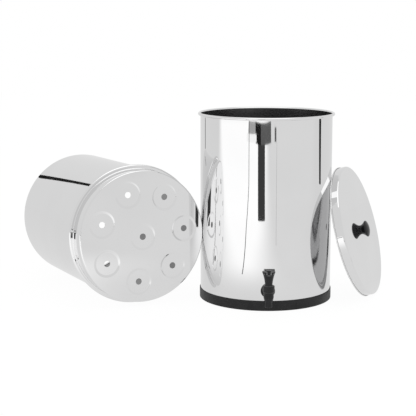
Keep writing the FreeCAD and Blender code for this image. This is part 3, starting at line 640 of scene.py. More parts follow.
class WATERFILTER_OT_lower_vessel(bpy.types.Operator):
    """Turn the standing chamber with its rolled lip"""
    bl_idname = "waterfilter.lower_vessel"
    bl_label = "Lower chamber"

    def execute(self, context):
        s = context.scene.filter_sizes
        inside = s.chamber_radius - s.wall
        lip = (inside + s.curl, LOWER_TOP - s.curl)
        bend = (s.chamber_radius - s.corner, s.floor_height + s.corner)
        clear = 12 * MM
        round_tap = (s.shank_height - clear, s.shank_height + clear)
        profile = [(0, s.floor_height)] + arc(*bend, s.corner, -90, 0)
        profile += [(s.chamber_radius, height) for height in round_tap]
        profile += arc(*lip, s.curl - s.wall, 180, -90, 28)
        profile += arc(*lip, s.curl, -90, 180, 32)
        profile += [(inside, height) for height in reversed(round_tap)]
        profile += arc(*bend, s.corner - s.wall, 0, -90) + [(0, s.floor_height + s.wall)]
        turned("lower_vessel", profile, "polished_steel", "stand", ["lower_chamber"],
               inside=inner_side(s.floor_height + s.wall / 2, LOWER_TOP - 2 * s.curl))
        return {"FINISHED"}


class WATERFILTER_OT_ring_foot(bpy.types.Operator):
    """Turn the rubber ring under the standing chamber"""
    bl_idname = "waterfilter.ring_foot"
    bl_label = "Ring foot"

    def execute(self, context):
        s = context.scene.filter_sizes
        outside, top = RING_HIGH.x, RING_HIGH.z
        sole, edge, gap = s.chamber_radius - 20 * MM, 1.1 * MM, 0.05 * MM
        bend = (s.chamber_radius - s.corner, s.floor_height + s.corner)
        profile = [(sole, 0)] + arc(outside - edge, edge, edge, -90, 0, 6)
        profile += arc(outside - edge, top - edge, edge, 0, 75, 6)
        profile += [(s.chamber_radius + gap, top - 2 * gap)] + arc(*bend, s.corner + gap, 0, -90)
        profile += [(sole, s.floor_height - gap)]
        turned("ring_foot", profile, "ring_rubber", "stand", ["base_ring"])
        return {"FINISHED"}


SLOPE_STEPS, SEAT_SEGMENTS = 12, 64
HOLE_EDGE = 0.3 * MM        # rounding of an element hole
SEAT_WELD = 0.005 * MM      # the seats join the sheet within this
SEAT_CUT = 0.999            # the sheet is cut out within this share of a seat's radius


def seat_ring(s, height, outward):
    """Pressed seat round the origin: soft step down to a flat land, and half of its hole's edge."""
    profile = []
    for step in range(SLOPE_STEPS + 1):
        share = step / SLOPE_STEPS
        soft = share * share * (3 - 2 * share)
        profile.append((s.dish_radius - share * s.dish_side, height + soft * s.dish_depth))
    land = height + s.dish_depth
    profile.append((s.hole_radius + HOLE_EDGE, land))
    if outward:
        profile += arc(s.hole_radius + HOLE_EDGE, land + HOLE_EDGE, HOLE_EDGE, -90, -180, 4)
    profile.append((s.hole_radius, land + (s.wall / 2 if outward else -s.wall / 2)))
    return data_of(lathe_mesh(profile, SEAT_SEGMENTS, closed=False), "seat")


def circle_points(centre, radius, angles):
    """Points of a circle in the plane."""
    return [centre + Vector((math.cos(turn), math.sin(turn))) * radius for turn in angles]


def plate_round_seats(s, height):
    """Flat sheet of the chamber's bottom, cut out where the seats are pressed."""
    axis = Vector((0, 0))
    seats = [s.hole_turn + turn for turn in turns(s.hole_count)]
    centres = [axis] + circle_points(axis, s.hole_circle / 2, seats)
    loops = [circle_points(axis, s.nest_radius - s.nest_corner, turns(RIM_SEGMENTS))]
    loops += [circle_points(centre, s.dish_radius, turns(SEAT_SEGMENTS)) for centre in centres]
    points, edges = [], []
    for loop in loops:
        begin = len(points)
        edges += [(begin + i, begin + (i + 1) % len(loop)) for i in range(len(loop))]
        points += loop
    inside_only, nearest = 1, 1e-9
    verts, _, faces, *_ = geometry.delaunay_2d_cdt(points, edges, [], inside_only, nearest)
    sheet = bmesh.new()
    corners = [sheet.verts.new((point.x, point.y, height)) for point in verts]
    for face in faces:
        middle = sum((verts[i] for i in face), Vector((0, 0))) / len(face)
        if all((middle - centre).length > s.dish_radius * SEAT_CUT for centre in centres):
            sheet.faces.new([corners[i] for i in face])
    return data_of(sheet, "sheet")


class WATERFILTER_OT_upper_vessel(bpy.types.Operator):
    """Turn the lying chamber with its bead, and press the eight seats in its bottom"""
    bl_idname = "waterfilter.upper_vessel"
    bl_label = "Upper chamber"

    def execute(self, context):
        s = context.scene.filter_sizes
        axis_r = s.bead_radius - s.bead_section
        low, high = s.bead_offset - s.bead_section, s.bead_offset + s.bead_section
        bend = (s.nest_radius - s.nest_corner, s.nest_corner)
        fillet, inside = 1.6 * MM, s.upper_radius - s.wall
        profile = arc(*bend, s.nest_corner, -90, 0)
        profile += arc(s.nest_radius + fillet, low - fillet, fillet, 180, 90, 8)
        profile += arc(axis_r, s.bead_offset, s.bead_section, -90, 90, 24)
        profile += arc(s.upper_radius + fillet, high + fillet, fillet, -90, -180, 8)
        profile += arc(inside, s.upper_length - s.wall, s.wall, 0, 180, 10)
        profile += [(s.upper_radius - 2 * s.wall, s.upper_length - s.hem),
                    (inside, s.upper_length - s.hem)]
        profile += arc(inside + fillet, high - s.wall + fillet, fillet, 180, 270, 8)
        profile += arc(axis_r, s.bead_offset, s.bead_section - s.wall, 90, -90, 20)
        profile += arc(s.nest_radius - s.wall + fillet, low + s.wall - fillet, fillet, 90, 180, 8)
        profile += arc(*bend, s.nest_corner - s.wall, 0, -90)
        shell = lathe_mesh(held(profile, closed=False), RIM_SEGMENTS, closed=False)
        tree = seats_tree()
        for height, outward in ((0.0, True), (s.wall, False)):
            seats = grown("seats", tree, "polished_steel", seat_ring(s, height, outward),
                          Count=s.hole_count, Circle=s.hole_circle, Turn=s.hole_turn)
            for data in (plate_round_seats(s, height), seats):
                shell.from_mesh(data)
                bpy.data.meshes.remove(data)
        bmesh.ops.remove_doubles(shell, verts=shell.verts, dist=SEAT_WELD)
        edge = s.nest_radius - s.nest_corner
        for vert in shell.verts:
            share = math.hypot(vert.co.x, vert.co.y) / edge
            if share < 1 and vert.co.z < 2 * s.nest_corner:
                vert.co.z -= s.crown * (1 - share * share)
        bmesh.ops.recalc_face_normals(shell, faces=shell.faces)
        vessel = piece("upper_vessel", shell, "polished_steel", "upper", ["upper_chamber"],
                       upper_place(s), sharp=30,
                       inside=inner_side(s.wall / 2 - s.crown, s.upper_length - s.hem))
        weight = vessel.modifiers.new("Face weight", "WEIGHTED_NORMAL")
        weight.keep_sharp = True
        settled(vessel)
        return {"FINISHED"}


class WATERFILTER_OT_lid_pan(bpy.types.Operator):
    """Turn the lid with its rolled edge"""
    bl_idname = "waterfilter.lid_pan"
    bl_label = "Lid"

    def execute(self, context):
        s = context.scene.filter_sizes
        hole = 2.3 * MM
        bend = (s.lid_radius - s.lid_corner, -s.lid_corner)
        inside = s.lid_radius - s.wall
        axis = (inside + s.lid_curl, s.lid_curl - s.lid_depth)
        profile = [(hole, -s.wall)] + arc(*bend, s.lid_corner - s.wall, 90, 0)
        profile += arc(*axis, s.lid_curl, 180, 450, 28)
        profile += arc(*axis, s.lid_curl - s.wall, 450, 180, 20)
        profile += arc(*bend, s.lid_corner, 0, 90) + [(hole, 0)]

        def under(face):
            height = face.calc_center_median().z
            return s.lid_curl - s.lid_depth < height < -s.wall / 2 and (
                face.normal.z < -0.5 or towards_axis(face))

        turned("lid_pan", profile, "polished_steel", "cover", ["lid"], lid_place(s), inside=under,
               lining="lid_inside")
        return {"FINISHED"}


class WATERFILTER_OT_knob(bpy.types.Operator):
    """Turn the lid's knob"""
    bl_idname = "waterfilter.knob"
    bl_label = "Knob"

    def execute(self, context):
        s = context.scene.filter_sizes
        crown, band, edge = s.knob_height - s.knob_edge, 2.2 * MM, 0.9 * MM
        insert, insert_top = 3.65 * MM, 10.3 * MM
        gap, foot_edge, flare_steps, flare_power = 0.05 * MM, 0.4 * MM, 24, 0.9
        foot = foot_edge + gap
        rise = s.knob_edge - band - foot
        profile = [(insert, gap), (s.knob_foot - foot_edge, gap), (s.knob_foot, foot)]
        for step in range(1, flare_steps + 1):
            share = step / flare_steps
            flare = (1 - math.cos(share * math.pi / 2)) ** flare_power
            radius = s.knob_foot + (s.knob_radius - s.knob_foot) * flare
            profile.append((radius, foot + share * rise))
        profile += [(s.knob_radius, s.knob_edge - edge)]
        dome = (s.knob_radius ** 2 + crown ** 2) / (2 * crown)
        brim = math.degrees(math.asin((s.knob_radius - edge) / dome))
        profile += arc(s.knob_radius - edge, s.knob_edge - edge, edge, 12, 90 - brim, 5)
        profile += arc(0, s.knob_height - dome, dome, 90 - brim + 1, 90, 20)[:-1]
        profile += [(0, s.knob_height), (0, insert_top), (insert, insert_top)]
        turned("knob", profile, "knob_plastic", "cover", ["lid_knob"], lid_place(s),
               segments=128, sharp=50)
        return {"FINISHED"}


def moulded_piece(name, parts, cutters, body, nodes, place, voxel):
    """Black shells grown together like a moulding, with soft inner corners, then bored."""
    whole = bmesh.new()
    for part in parts:
        data = data_of(part, "shell")
        whole.from_mesh(data)
        bpy.data.meshes.remove(data)
    whole.transform(place)
    obj = object_of(whole, name)
    remesh = obj.modifiers.new("Grow together", "REMESH")
    remesh.mode = "VOXEL"
    remesh.voxel_size = voxel
    smooth = obj.modifiers.new("Soften", "SMOOTH")
    smooth.factor = 0.5
    smooth.iterations = 6
    settled(obj)
    cut_by(obj, cutters, place)
    return finished(obj, "black_plastic", body, nodes, sharp=40)


def along_y(mesh, height):
    """Turn a lathed mesh to lie along +Y at a height."""
    mesh.transform(Matrix.Translation((0, 0, height)) @ Matrix.Rotation(-math.pi / 2, 4, "X"))
    return mesh


def rod(radius, low, high, segments=64, edge=0.0):
    """Closed round bar between two heights, with rounded edges."""
    if edge:
        profile = [(0, low)] + arc(radius - edge, low + edge, edge, -90, 0, 5)
        profile += arc(radius - edge, high - edge, edge, 0, 90, 5) + [(0, high)]
    else:
        profile = [(0, low), (radius, low), (radius, high), (0, high)]
    return lathe_mesh(profile, segments, closed=False)


# Outlines of the tap's body and its hollow: radius and height in millimetres
BODY_OUTLINE = ((0, 19.5), (7.2, 19.5), (7.8, 20.1), (7.8, 30), (10.3, 39.3), (10.3, 49.8),
                (12, 51.5), (12, 63.2), (11.3, 64), (0, 64))
HOLLOW_OUTLINE = ((0, 18.5), (4.6, 18.5), (4.6, 36), (6.1, 36), (6.1, 34.5), (7.3, 34.5),
                  (7.3, 51.5), (9.05, 51.5), (9.05, 66), (0, 66))
PIN_BORE = 1.25 * MM    # bore for the lever's pin, in the bonnet and in the lever


def turned_outline(outline):
    """Closed turned shape of an outline in millimetres."""
    profile = [(radius * MM, height * MM) for radius, height in outline]
    return lathe_mesh(profile, MOULD_SEGMENTS, closed=False)


class WATERFILTER_OT_tap(bpy.types.Operator):
    """Mould the tap's body: spout, valve chamber, neck, flange and shank"""
    bl_idname = "waterfilter.tap"
    bl_label = "Tap"

    def execute(self, context):
        s = context.scene.filter_sizes
        washer, flange_thick, flange_edge = 3.05 * MM, 3.6 * MM, 1.2 * MM
        neck_radius, flange_radius, root, bore_radius = 8.4 * MM, 14.8 * MM, 7.6 * MM, 4.6 * MM
        face = -s.chamber_radius - washer - TAP_AXIS_Y
        seam, end = face - flange_thick / 2, SHANK_END - TAP_AXIS_Y
        neck = rod(neck_radius, 0, seam)
        flange = rod(flange_radius, face - flange_thick, face, edge=flange_edge)
        shank = rod(root, seam, end, edge=0.5 * MM)
        bore = rod(bore_radius, 0, end + 1 * MM)
        *bars, bore = (along_y(bar, s.shank_height) for bar in (neck, flange, shank, bore))
        shells = [turned_outline(BODY_OUTLINE), *bars]
        hollows = [bore, turned_outline(HOLLOW_OUTLINE)]
        moulded_piece("tap_moulding", shells, hollows, "stand", ["tap_body"], TAP_PLACE,
                      voxel=0.42 * MM)
        return {"FINISHED"}


def prism(outline, low, high, sideways=False):
    """Straight bar over an outline: upright over a plan, or along X over a side view of (y, z)."""
    mesh = bmesh.new()
    below, above = (
        [mesh.verts.new((level, a, b) if sideways else (a, b, level)) for a, b in outline]
        for level in (low, high))
    mesh.faces.new(below)
    mesh.faces.new(above)
    for i in range(len(outline)):
        j = (i + 1) % len(outline)
        mesh.faces.new([below[i], below[j], above[j], above[i]])
    bmesh.ops.recalc_face_normals(mesh, faces=mesh.faces)
    return mesh


def rectangle(x0, x1, y0, y1):
    """Corners of a rectangle in order."""
    return [(x0, y0), (x1, y0), (x1, y1), (x0, y1)]


def cross_bar(radius, half, y, z):
    """Round bar along X."""
    mesh = rod(radius, -half, half, segments=48)
    mesh.transform(Matrix.Translation((0, y, z)) @ Matrix.Rotation(math.pi / 2, 4, "Y"))
    return mesh


def cut_by(obj, cutters, place):
    """Cut closed shapes out of an object."""
    for cutter in cutters:
        cutter.transform(place)
        tool = object_of(cutter, "cutter")
        cut = obj.modifiers.new("Bore", "BOOLEAN")
        cut.operation = "DIFFERENCE"
        cut.solver = "EXACT"
        cut.object = tool
        settled(obj)
        bpy.data.objects.remove(tool)


class WATERFILTER_OT_bonnet(bpy.types.Operator):
    """Turn the tap's flared bonnet and cut the lever's pocket"""
    bl_idname = "waterfilter.bonnet"
    bl_label = "Bonnet"

    def execute(self, context):
        s = context.scene.filter_sizes
        room, plug, waist, rim, guide = 5.2 * MM, 9.0 * MM, 7.5 * MM, BONNET_HIGH.x, 2.06 * MM
        low, collar, narrow, roof = BONNET_LOW.z, 64.05 * MM, 66.2 * MM, 70.0 * MM
        band, edge, steps = BONNET_HIGH.z - 1.8 * MM, 0.6 * MM, 24
        straight, power = 0.45, 2.4     # the flare is part a cone, part a curve
        profile = [(room, low), (plug, low), (plug, collar), (waist + 0.2 * MM, narrow - 0.4 * MM)]
        for step in range(steps + 1):
            share = step / steps
            flare = straight * share + (1 - straight) * share ** power
            profile.append((waist + (rim - waist) * flare, narrow + (band - narrow) * share))
        profile += arc(rim - edge, BONNET_HIGH.z - edge, edge, 0, 90, 6)
        profile += [(guide, BONNET_HIGH.z), (guide, roof), (room, roof)]
        mesh = lathe_mesh(profile, MOULD_SEGMENTS)
        mesh.transform(TAP_PLACE)
        bonnet = object_of(mesh, "bonnet")
        half_pocket, pocket_back, pocket_floor = 4.6 * MM, 3.8 * MM, 84.9 * MM
        pocket = prism(rectangle(-half_pocket, half_pocket, -2 * rim, pocket_back), pocket_floor,
                       BONNET_HIGH.z + 1 * MM)
        pin = cross_bar(PIN_BORE, 2 * rim, -s.hinge_ahead, s.hinge_height)
        cut_by(bonnet, [pocket, pin], TAP_PLACE)
        bevel = bonnet.modifiers.new("Edges", "BEVEL")
        bevel.width, bevel.segments = 0.22 * MM, 2
        bevel.limit_method, bevel.angle_limit = "ANGLE", math.radians(50)
        settled(bonnet)
        finished(bonnet, "black_plastic", "stand", ["tap_bonnet"], sharp=40)
        return {"FINISHED"}


class WATERFILTER_OT_lever(bpy.types.Operator):
    """Mould the tap's lever: paddle, neck and fork"""
    bl_idname = "waterfilter.lever"
    bl_label = "Lever"

    def execute(self, context):
        s = context.scene.filter_sizes
        hub, finger, half_neck, half_slot = 2.7 * MM, 2.0 * MM, 3.7 * MM, 2.6 * MM
        slot_end = s.hinge_ahead - 3.4 * MM
        wide, corner, front = s.paddle_width / 2, s.paddle_corner, -s.paddle_length
        plan = [(wide, s.paddle_back), (-wide, s.paddle_back)]
        plan += arc(corner - wide, front + corner, corner, 180, 270, 10)
        plan += arc(wide - corner, front + corner, corner, 270, 360, 10)
        paddle = prism(plan, s.paddle_drop, s.paddle_drop + s.paddle_thick)
        slope = math.tan(s.paddle_slope)
        for vert in paddle.verts:
            vert.co.z -= vert.co.y * slope
        root, inner = s.paddle_drop + s.paddle_thick / 2, hub - finger / 2
        side = arc(s.hinge_ahead, 0, finger, -90, 90, 12) + [(hub, finger), (inner, 1.5 * finger)]
        side += [(inner, root), (-hub, root)] + arc(0, 0, hub, 180, 270, 10)
        neck = prism(side, -half_neck, half_neck, sideways=True)
        thumb, depth, thumb_share = 45 * MM, 0.8 * MM, 0.62
        thumb_y = -thumb_share * s.paddle_length
        dish = lathe_mesh(arc(0, 0, thumb, -90, 90, 96), 128, closed=False)
        above = s.paddle_drop + s.paddle_thick - thumb_y * slope - depth + thumb
        dish.transform(Matrix.Translation((0, thumb_y - thumb * slope, above)))
        slot = prism(rectangle(-half_slot, half_slot, slot_end, s.hinge_ahead + 2 * finger),
                     -2 * finger, 2 * finger)
        pin = cross_bar(PIN_BORE, 2 * half_neck, 0, 0)
        place = Matrix.Translation((0, TAP_AXIS_Y - s.hinge_ahead, s.hinge_height))
        moulded_piece("lever", [paddle, neck], [dish, slot, pin], "lever", ["tap_lever"], place,
                      voxel=0.33 * MM)
        return {"FINISHED"}


class WATERFILTER_OT_knob_screw(bpy.types.Operator):
    """Turn the knob's screw and cut the cross in its head"""
    bl_idname = "waterfilter.knob_screw"
    bl_label = "Knob screw"

    def execute(self, context):
        s = context.scene.filter_sizes
        head, flat, rim, top, thick = 4.2 * MM, 2.6 * MM, 0.8 * MM, -3.05 * MM, 2.6 * MM
        root, tip, chamfer = s.screw_radius - 0.25 * MM, 8.0 * MM, 0.5 * MM
        dome = [(flat + (head - flat) * math.sin(t), top - rim - (thick - rim) * math.cos(t))
                for t in (math.radians(15 * step) for step in range(7))]
        profile = [(0, top - thick), *dome, (head, top), (root, top), (root, tip - chamfer),
                   (root - chamfer, tip), (0, tip)]
        mesh = lathe_mesh(profile, 64, closed=False)
        mesh.transform(lid_place(s))
        screw = object_of(mesh, "knob_screw_head")
        reach, slot, deep, crest = 2.1 * MM, 0.4 * MM, 1.4 * MM, top - thick
        bars = [rectangle(-reach, reach, -slot, slot), rectangle(-slot, slot, -reach, reach)]
        cross = [prism(bar, crest - 1 * MM, crest + deep) for bar in bars]
        cut_by(screw, cross, lid_place(s))
        finished(screw, "plain_steel", "cover", ["knob_screw"], sharp=40)
        return {"FINISHED"}


class WATERFILTER_OT_threads(bpy.types.Operator):
    """Wind the threads on the tap's shank and the knob's screw"""
    bl_idname = "waterfilter.threads"
    bl_label = "Threads"

    def execute(self, context):
        s = context.scene.filter_sizes
        runout, shank_crest = 0.8 * MM, 0.5 * MM
        begin, end = -s.chamber_radius + s.wall, SHANK_END - runout
        level = Matrix.Rotation(-math.pi / 2, 4, "X")
        threaded("shank_thread", s.shank_radius, s.shank_pitch, end - begin, shank_crest,
                 "black_plastic", "stand", Matrix.Translation((0, begin, s.shank_height)) @ level)
        reach, screw_crest, under = 9.2 * MM, 0.3 * MM, Matrix.Translation((0, 0, -2.3 * MM))
        threaded("screw_thread", s.screw_radius, s.screw_pitch, reach, screw_crest,
                 "plain_steel", "cover", lid_place(s) @ under)
        return {"FINISHED"}


COIL_STEPS, WIRE_SIDES = 48, 12     # round each turn, and round the wire
END_CLIMB = 2.1                     # climb of an end turn in radii of the wire


def coil_mesh(radius, wire, low, high, count):
    """Compression spring about z with closed end turns, as one bent wire with flat ends."""
    closed = END_CLIMB * wire
    climb = (high - low - 2 * wire - 2 * closed) / (count - 2)
    mesh = bmesh.new()
    rings = []
    for step in range(count * COIL_STEPS + 1):
        turn = step / COIL_STEPS
        height = low + wire + closed * min(turn, 1) + climb * min(max(turn - 1, 0), count - 2)
        height += closed * max(turn - count + 1, 0)
        outward = Vector((math.cos(math.tau * turn), math.sin(math.tau * turn), 0))
        middle = outward * radius + Vector((0, 0, height))
        rings.append([mesh.verts.new(middle + outward * wire * math.cos(side)
                                     + Vector((0, 0, wire * math.sin(side))))
                      for side in turns(WIRE_SIDES)])
    for first, second in zip(rings, rings[1:]):
        for side in range(WIRE_SIDES):
            after = (side + 1) % WIRE_SIDES
            mesh.faces.new((first[side], first[after], second[after], second[side]))
    mesh.faces.new(rings[0])
    mesh.faces.new(rings[-1])
    bmesh.ops.recalc_face_normals(mesh, faces=mesh.faces)
    return mesh


class WATERFILTER_OT_closing_spring(bpy.types.Operator):
    """Wind the closing spring"""
    bl_idname = "waterfilter.closing_spring"
    bl_label = "Closing spring"

    def execute(self, context):
        s = context.scene.filter_sizes
        low, high = span("valve_spring")
        middle = (low + high) / 2
        mesh = coil_mesh(s.spring_radius, s.spring_wire, low.z, high.z, s.spring_turns)
        spring = piece("closing_spring", mesh, "plain_steel", "stand", ["valve_spring"],
                       Matrix.Translation((middle.x, middle.y, 0)))
        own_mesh(spring)
        return {"FINISHED"}


# Stage: brightness of the floor and the walls as the metal mirrors them, where 1 is white
FLOOR_NEAR, FLOOR_LEFT, FLOOR_RIGHT, WALLS = 0.82, 1.25, 0.82, 0.79
DARK, SOFT_DARK, DIM, GREY, BRIGHT = 0.015, 0.05, 0.12, 0.42, 1.1
# Where the floor's brightness changes, in metres: from left to right, from front to back,
# from the floor at the vessels to the open floor, and from there to the walls
ACROSS, ALONG, NEAR, FAR = (-0.35, 0.25), (-0.55, 0.15), (0.22, 0.6), (4.0, 6.0)
FLOOR_REACH, FLOOR_ROUGHNESS = 6.0, 0.9
FLOOR_SEEN = 1.02       # brightness of the floor to the camera
FLOOR_GLOW = 0.94       # share of the floor that glows; the rest is lit and keeps the shadow
LIGHT_OF_WALLS = 0.75   # strength of the world's light on the pieces and the floor
LAMP_PLACE, LAMP_TARGET, LAMP_SIZE, LAMP_WATTS = (0, -0.3, 2.2), (0, 0, 0.1), 2.0, 8

# Cards that only the metal mirrors: name, tone, and corners on the floor in metres
FLOOR_CARDS = (
    ("long_strip", SOFT_DARK, ((-0.067, -1.204), (-0.301, -1.165), (-0.897, -3.155),
                               (-0.242, -3.274))),
    ("far_panel", DARK, ((-1.518, -4.081), (0.42, -4.357), (0.345, -3.27), (-1.12, -3.067))),
    ("far_shade", DIM, ((-0.84, -4.178), (0.42, -4.357), (0.345, -3.27), (-0.607, -3.138))),
    ("grey_panel", GREY, ((-2.32, -3.72), (-1.518, -4.081), (-1.272, -3.457), (-1.99, -3.12))),
    ("white_block", BRIGHT, ((-2.12, -3.04), (-1.166, -3.48), (-1.041, -3.131), (-1.92, -2.73))),
    ("short_bar", DIM, ((0.816, -3.937), (1.01, -3.891), (0.845, -3.216), (0.684, -3.255))),
    ("joint", GREY, ((0.203, -0.8), (0.21, -0.8), (0.89, -3.15), (0.868, -3.16))),
    ("side_strip", DIM, ((-0.272, -0.373), (-0.59, -0.903), (-0.965, -1.665), (-2.24, -3.77),
                         (-2.3, -3.74), (-0.99, -1.652), (-0.606, -0.892), (-0.281, -0.368))),
    ("stand", DARK, ((1.82, 0.33), (4.43, 0.75), (4.32, 1.2), (1.77, 0.47))),
    ("back_strip", DIM, ((-2.131, 1.866), (-3.267, 2.95), (-3.13, 3.08), (-2.05, 1.94))),
)
CARD_STEP = 0.2 * MM    # each card lies this much above the one before
# Slanted bar behind the lying chamber: the dark streak along its top
HIGH_BAR = ((-2.2, 2.55, 1.02), (-2.12, 2.595, 1.02), (-1.73, 2.4, 1.28), (-1.81, 2.355, 1.28))

# Camera of the photograph, from a fit of the standing chamber's rims
PHOTO_PIXELS, PIXEL_FOCAL, SENSOR = 416, 1206.71, 36.0
CAMERA_PLACE, CAMERA_AHEAD = (-0.1026, -2.5549, 0.6140), (-0.00814, 0.98656, -0.16317)
CAMERA_CLIP = (0.05, 50)


class WATERFILTER_OT_stage(bpy.types.Operator):
    """Set up the floor, the cards, the light and the camera"""
    bl_idname = "waterfilter.stage"
    bl_label = "Studio"

    def execute(self, context):
        make_floor(context.scene.filter_colours)
        make_cards()
        keep_out_of_mirrors()
        make_world()
        make_lamp()
        make_camera(context)
        context.scene.view_settings.view_transform = "Standard"
        return {"FINISHED"}


def keep_out_of_mirrors():
    """The photograph's walls don't mirror the tap, so the tap's pieces stay out of the metal."""
    for name in ("tap_moulding", "bonnet", "lever", "closing_spring"):
        bpy.data.objects[name].visible_glossy = False
    for name in ("lever_pin", "valve_stem", "seat_cup", "stem_seal", "spring_plate"):
        NODE[name].visible_glossy = False


def aimed(obj, place, ahead):
    """Put a lamp or a camera in the scene, looking ahead."""
    obj.location = place
    obj.rotation_euler = ahead.to_track_quat("-Z", "Y").to_euler()
    bpy.context.scene.collection.objects.link(obj)


def seen_rays(tree):
    """1 for camera, glossy and transmission rays."""
    path = tree.nodes.new("ShaderNodeLightPath").outputs
    total = path["Is Camera Ray"]
    for label in ("Is Glossy Ray", "Is Transmission Ray"):
        total = calculated(tree, "MAXIMUM", total, path[label])
    return total


def by_sight(tree, camera_value, other):
    """One value for camera rays and another for the rest."""
    camera = tree.nodes.new("ShaderNodeLightPath").outputs["Is Camera Ray"]
    mix = tree.nodes.new("ShaderNodeMix")
    for label, value in (("Factor", camera), ("A", other), ("B", camera_value)):
        feed(tree, value, mix.inputs[label])
    return mix.outputs["Result"]


def smooth_step(tree, value, ends, low, high):
    """Smooth change from low to high between two ends."""
    return mapped(tree, value, *ends, low, high, "SMOOTHSTEP")


def emission(tree, strength):
    """White emission of a strength."""
    glow = tree.nodes.new("ShaderNodeEmission")
    feed(tree, strength, glow.inputs["Strength"])
    return glow.outputs["Emission"]


def surface_of(tree, output, share, first, second):
    """Lead a mix of two shaders to a tree's output."""
    mix = tree.nodes.new("ShaderNodeMixShader")
    for socket, value in zip(mix.inputs, (share, first, second)):
        tree.links.new(value, socket)
    tree.links.new(mix.outputs["Shader"], tree.nodes[output].inputs["Surface"])


def stage_piece(name, corners, material):
    """Flat stage piece over corners in order."""
    data = bpy.data.meshes.new(name)
    data.from_pydata(corners, [], [list(range(len(corners)))])
    data.materials.append(material)
    obj = bpy.data.objects.new(name, data)
    bpy.context.scene.collection.objects.link(obj)
    return obj


def make_floor(colours):
    """White floor that keeps a soft shadow, and is duller in the metal near the vessels."""
    material, tree, shader = finish_of("studio_floor")
    shader.inputs["Base Color"].default_value = colours.studio
    shader.inputs["Roughness"].default_value = FLOOR_ROUGHNESS
    place = tree.nodes.new("ShaderNodeTexCoord").outputs["Object"]
    split = wired(tree, "ShaderNodeSeparateXYZ", Vector=place).outputs
    distance = tree.nodes.new("ShaderNodeVectorMath")
    distance.operation = "LENGTH"
    tree.links.new(place, distance.inputs[0])
    reach = distance.outputs["Value"]
    ahead = smooth_step(tree, split["X"], ACROSS, FLOOR_LEFT, FLOOR_RIGHT)
    around = smooth_step(tree, split["Y"], ALONG, ahead, WALLS)
    far = smooth_step(tree, reach, FAR, around, WALLS)
    mirrored = smooth_step(tree, reach, NEAR, FLOOR_NEAR, far)
    share = calculated(tree, "MULTIPLY", seen_rays(tree), FLOOR_GLOW)
    glow = emission(tree, by_sight(tree, FLOOR_SEEN, mirrored))
    surface_of(tree, "Material Output", share, shader.outputs["BSDF"], glow)
    corners = rectangle(-FLOOR_REACH, FLOOR_REACH, -FLOOR_REACH, FLOOR_REACH)
    stage_piece("studio_floor", [(x, y, 0) for x, y in corners], material)


def make_cards():
    """Dark and light cards round the set, for the polished metal to mirror."""
    tones = {}
    for count, (name, tone, plan) in enumerate(FLOOR_CARDS, start=1):
        hidden_card(name, [(x, y, count * CARD_STEP) for x, y in plan], tones, tone)
    hidden_card("high_bar", HIGH_BAR, tones, DARK)


def hidden_card(name, corners, tones, tone):
    """Card that the camera, the floor and the shadows don't see."""
    if tone not in tones:
        material, tree, _ = finish_of(f"card_{len(tones)}")
        tree.links.new(emission(tree, tone), tree.nodes["Material Output"].inputs["Surface"])
        tones[tone] = material
    card = stage_piece("card_" + name, corners, tones[tone])
    card.visible_camera = card.visible_diffuse = card.visible_shadow = False
    card.visible_transmission = card.visible_volume_scatter = False


def make_world():
    """Even white light, and a white background for the camera."""
    world = bpy.data.worlds.new("studio")
    world.use_nodes = True
    bpy.context.scene.world = world
    tree = world.node_tree
    shades = (tree.nodes["Background"], tree.nodes.new("ShaderNodeBackground"))
    for shade, strength in zip(shades, (LIGHT_OF_WALLS, by_sight(tree, 1.0, WALLS))):
        shade.inputs["Color"].default_value = (1, 1, 1, 1)
        feed(tree, strength, shade.inputs["Strength"])
    base, bright = (shade.outputs["Background"] for shade in shades)
    surface_of(tree, "World Output", seen_rays(tree), base, bright)


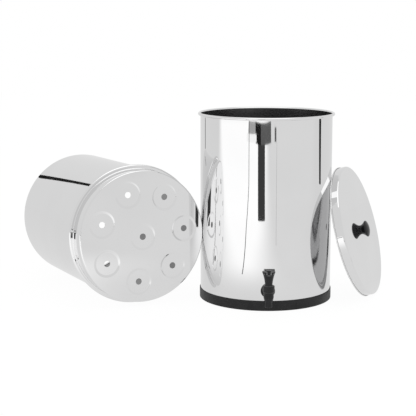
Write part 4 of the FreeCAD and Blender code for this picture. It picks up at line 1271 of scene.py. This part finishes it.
def make_lamp():
    """Soft lamp above the set."""
    light = bpy.data.lights.new("overhead", "AREA")
    light.size, light.energy = LAMP_SIZE, LAMP_WATTS
    ahead = Vector(LAMP_TARGET) - Vector(LAMP_PLACE)
    aimed(bpy.data.objects.new("overhead", light), LAMP_PLACE, ahead)


def make_camera(context):
    """Camera of the photograph."""
    camera = bpy.data.cameras.new("photo_camera")
    camera.sensor_width = SENSOR
    camera.lens = PIXEL_FOCAL / PHOTO_PIXELS * SENSOR
    camera.clip_start, camera.clip_end = CAMERA_CLIP
    obj = bpy.data.objects.new("photo_camera", camera)
    aimed(obj, CAMERA_PLACE, Vector(CAMERA_AHEAD))
    context.scene.camera = obj


class WATERFILTER_PT_panel(bpy.types.Panel):
    """Lists the filter's pieces"""
    bl_idname = "WATERFILTER_PT_panel"
    bl_label = "Water filter"
    bl_space_type = "VIEW_3D"
    bl_region_type = "UI"
    bl_category = "Filter"

    def draw(self, context):
        for operator in STEPS:
            self.layout.operator(operator.bl_idname)


STEPS = (
    WATERFILTER_OT_finishes, WATERFILTER_OT_lower_vessel, WATERFILTER_OT_ring_foot,
    WATERFILTER_OT_upper_vessel, WATERFILTER_OT_lid_pan, WATERFILTER_OT_knob,
    WATERFILTER_OT_tap, WATERFILTER_OT_bonnet, WATERFILTER_OT_lever,
    WATERFILTER_OT_knob_screw, WATERFILTER_OT_threads, WATERFILTER_OT_closing_spring,
    WATERFILTER_OT_stage,
)
CLASSES = (FilterSizes, FilterColours, *STEPS, WATERFILTER_PT_panel)


def register():
    """Register the classes and the scene's settings."""
    for entry in CLASSES:
        bpy.utils.register_class(entry)
    bpy.types.Scene.filter_sizes = bpy.props.PointerProperty(type=FilterSizes)
    bpy.types.Scene.filter_colours = bpy.props.PointerProperty(type=FilterColours)


def unregister():
    """Undo register."""
    del bpy.types.Scene.filter_sizes
    del bpy.types.Scene.filter_colours
    for entry in reversed(CLASSES):
        bpy.utils.unregister_class(entry)


def main():
    """Build everything through its operators."""
    register()
    for step in STEPS:
        category, name = step.bl_idname.split(".")
        getattr(getattr(bpy.ops, category), name)()


if __name__ == "__main__":
    main()
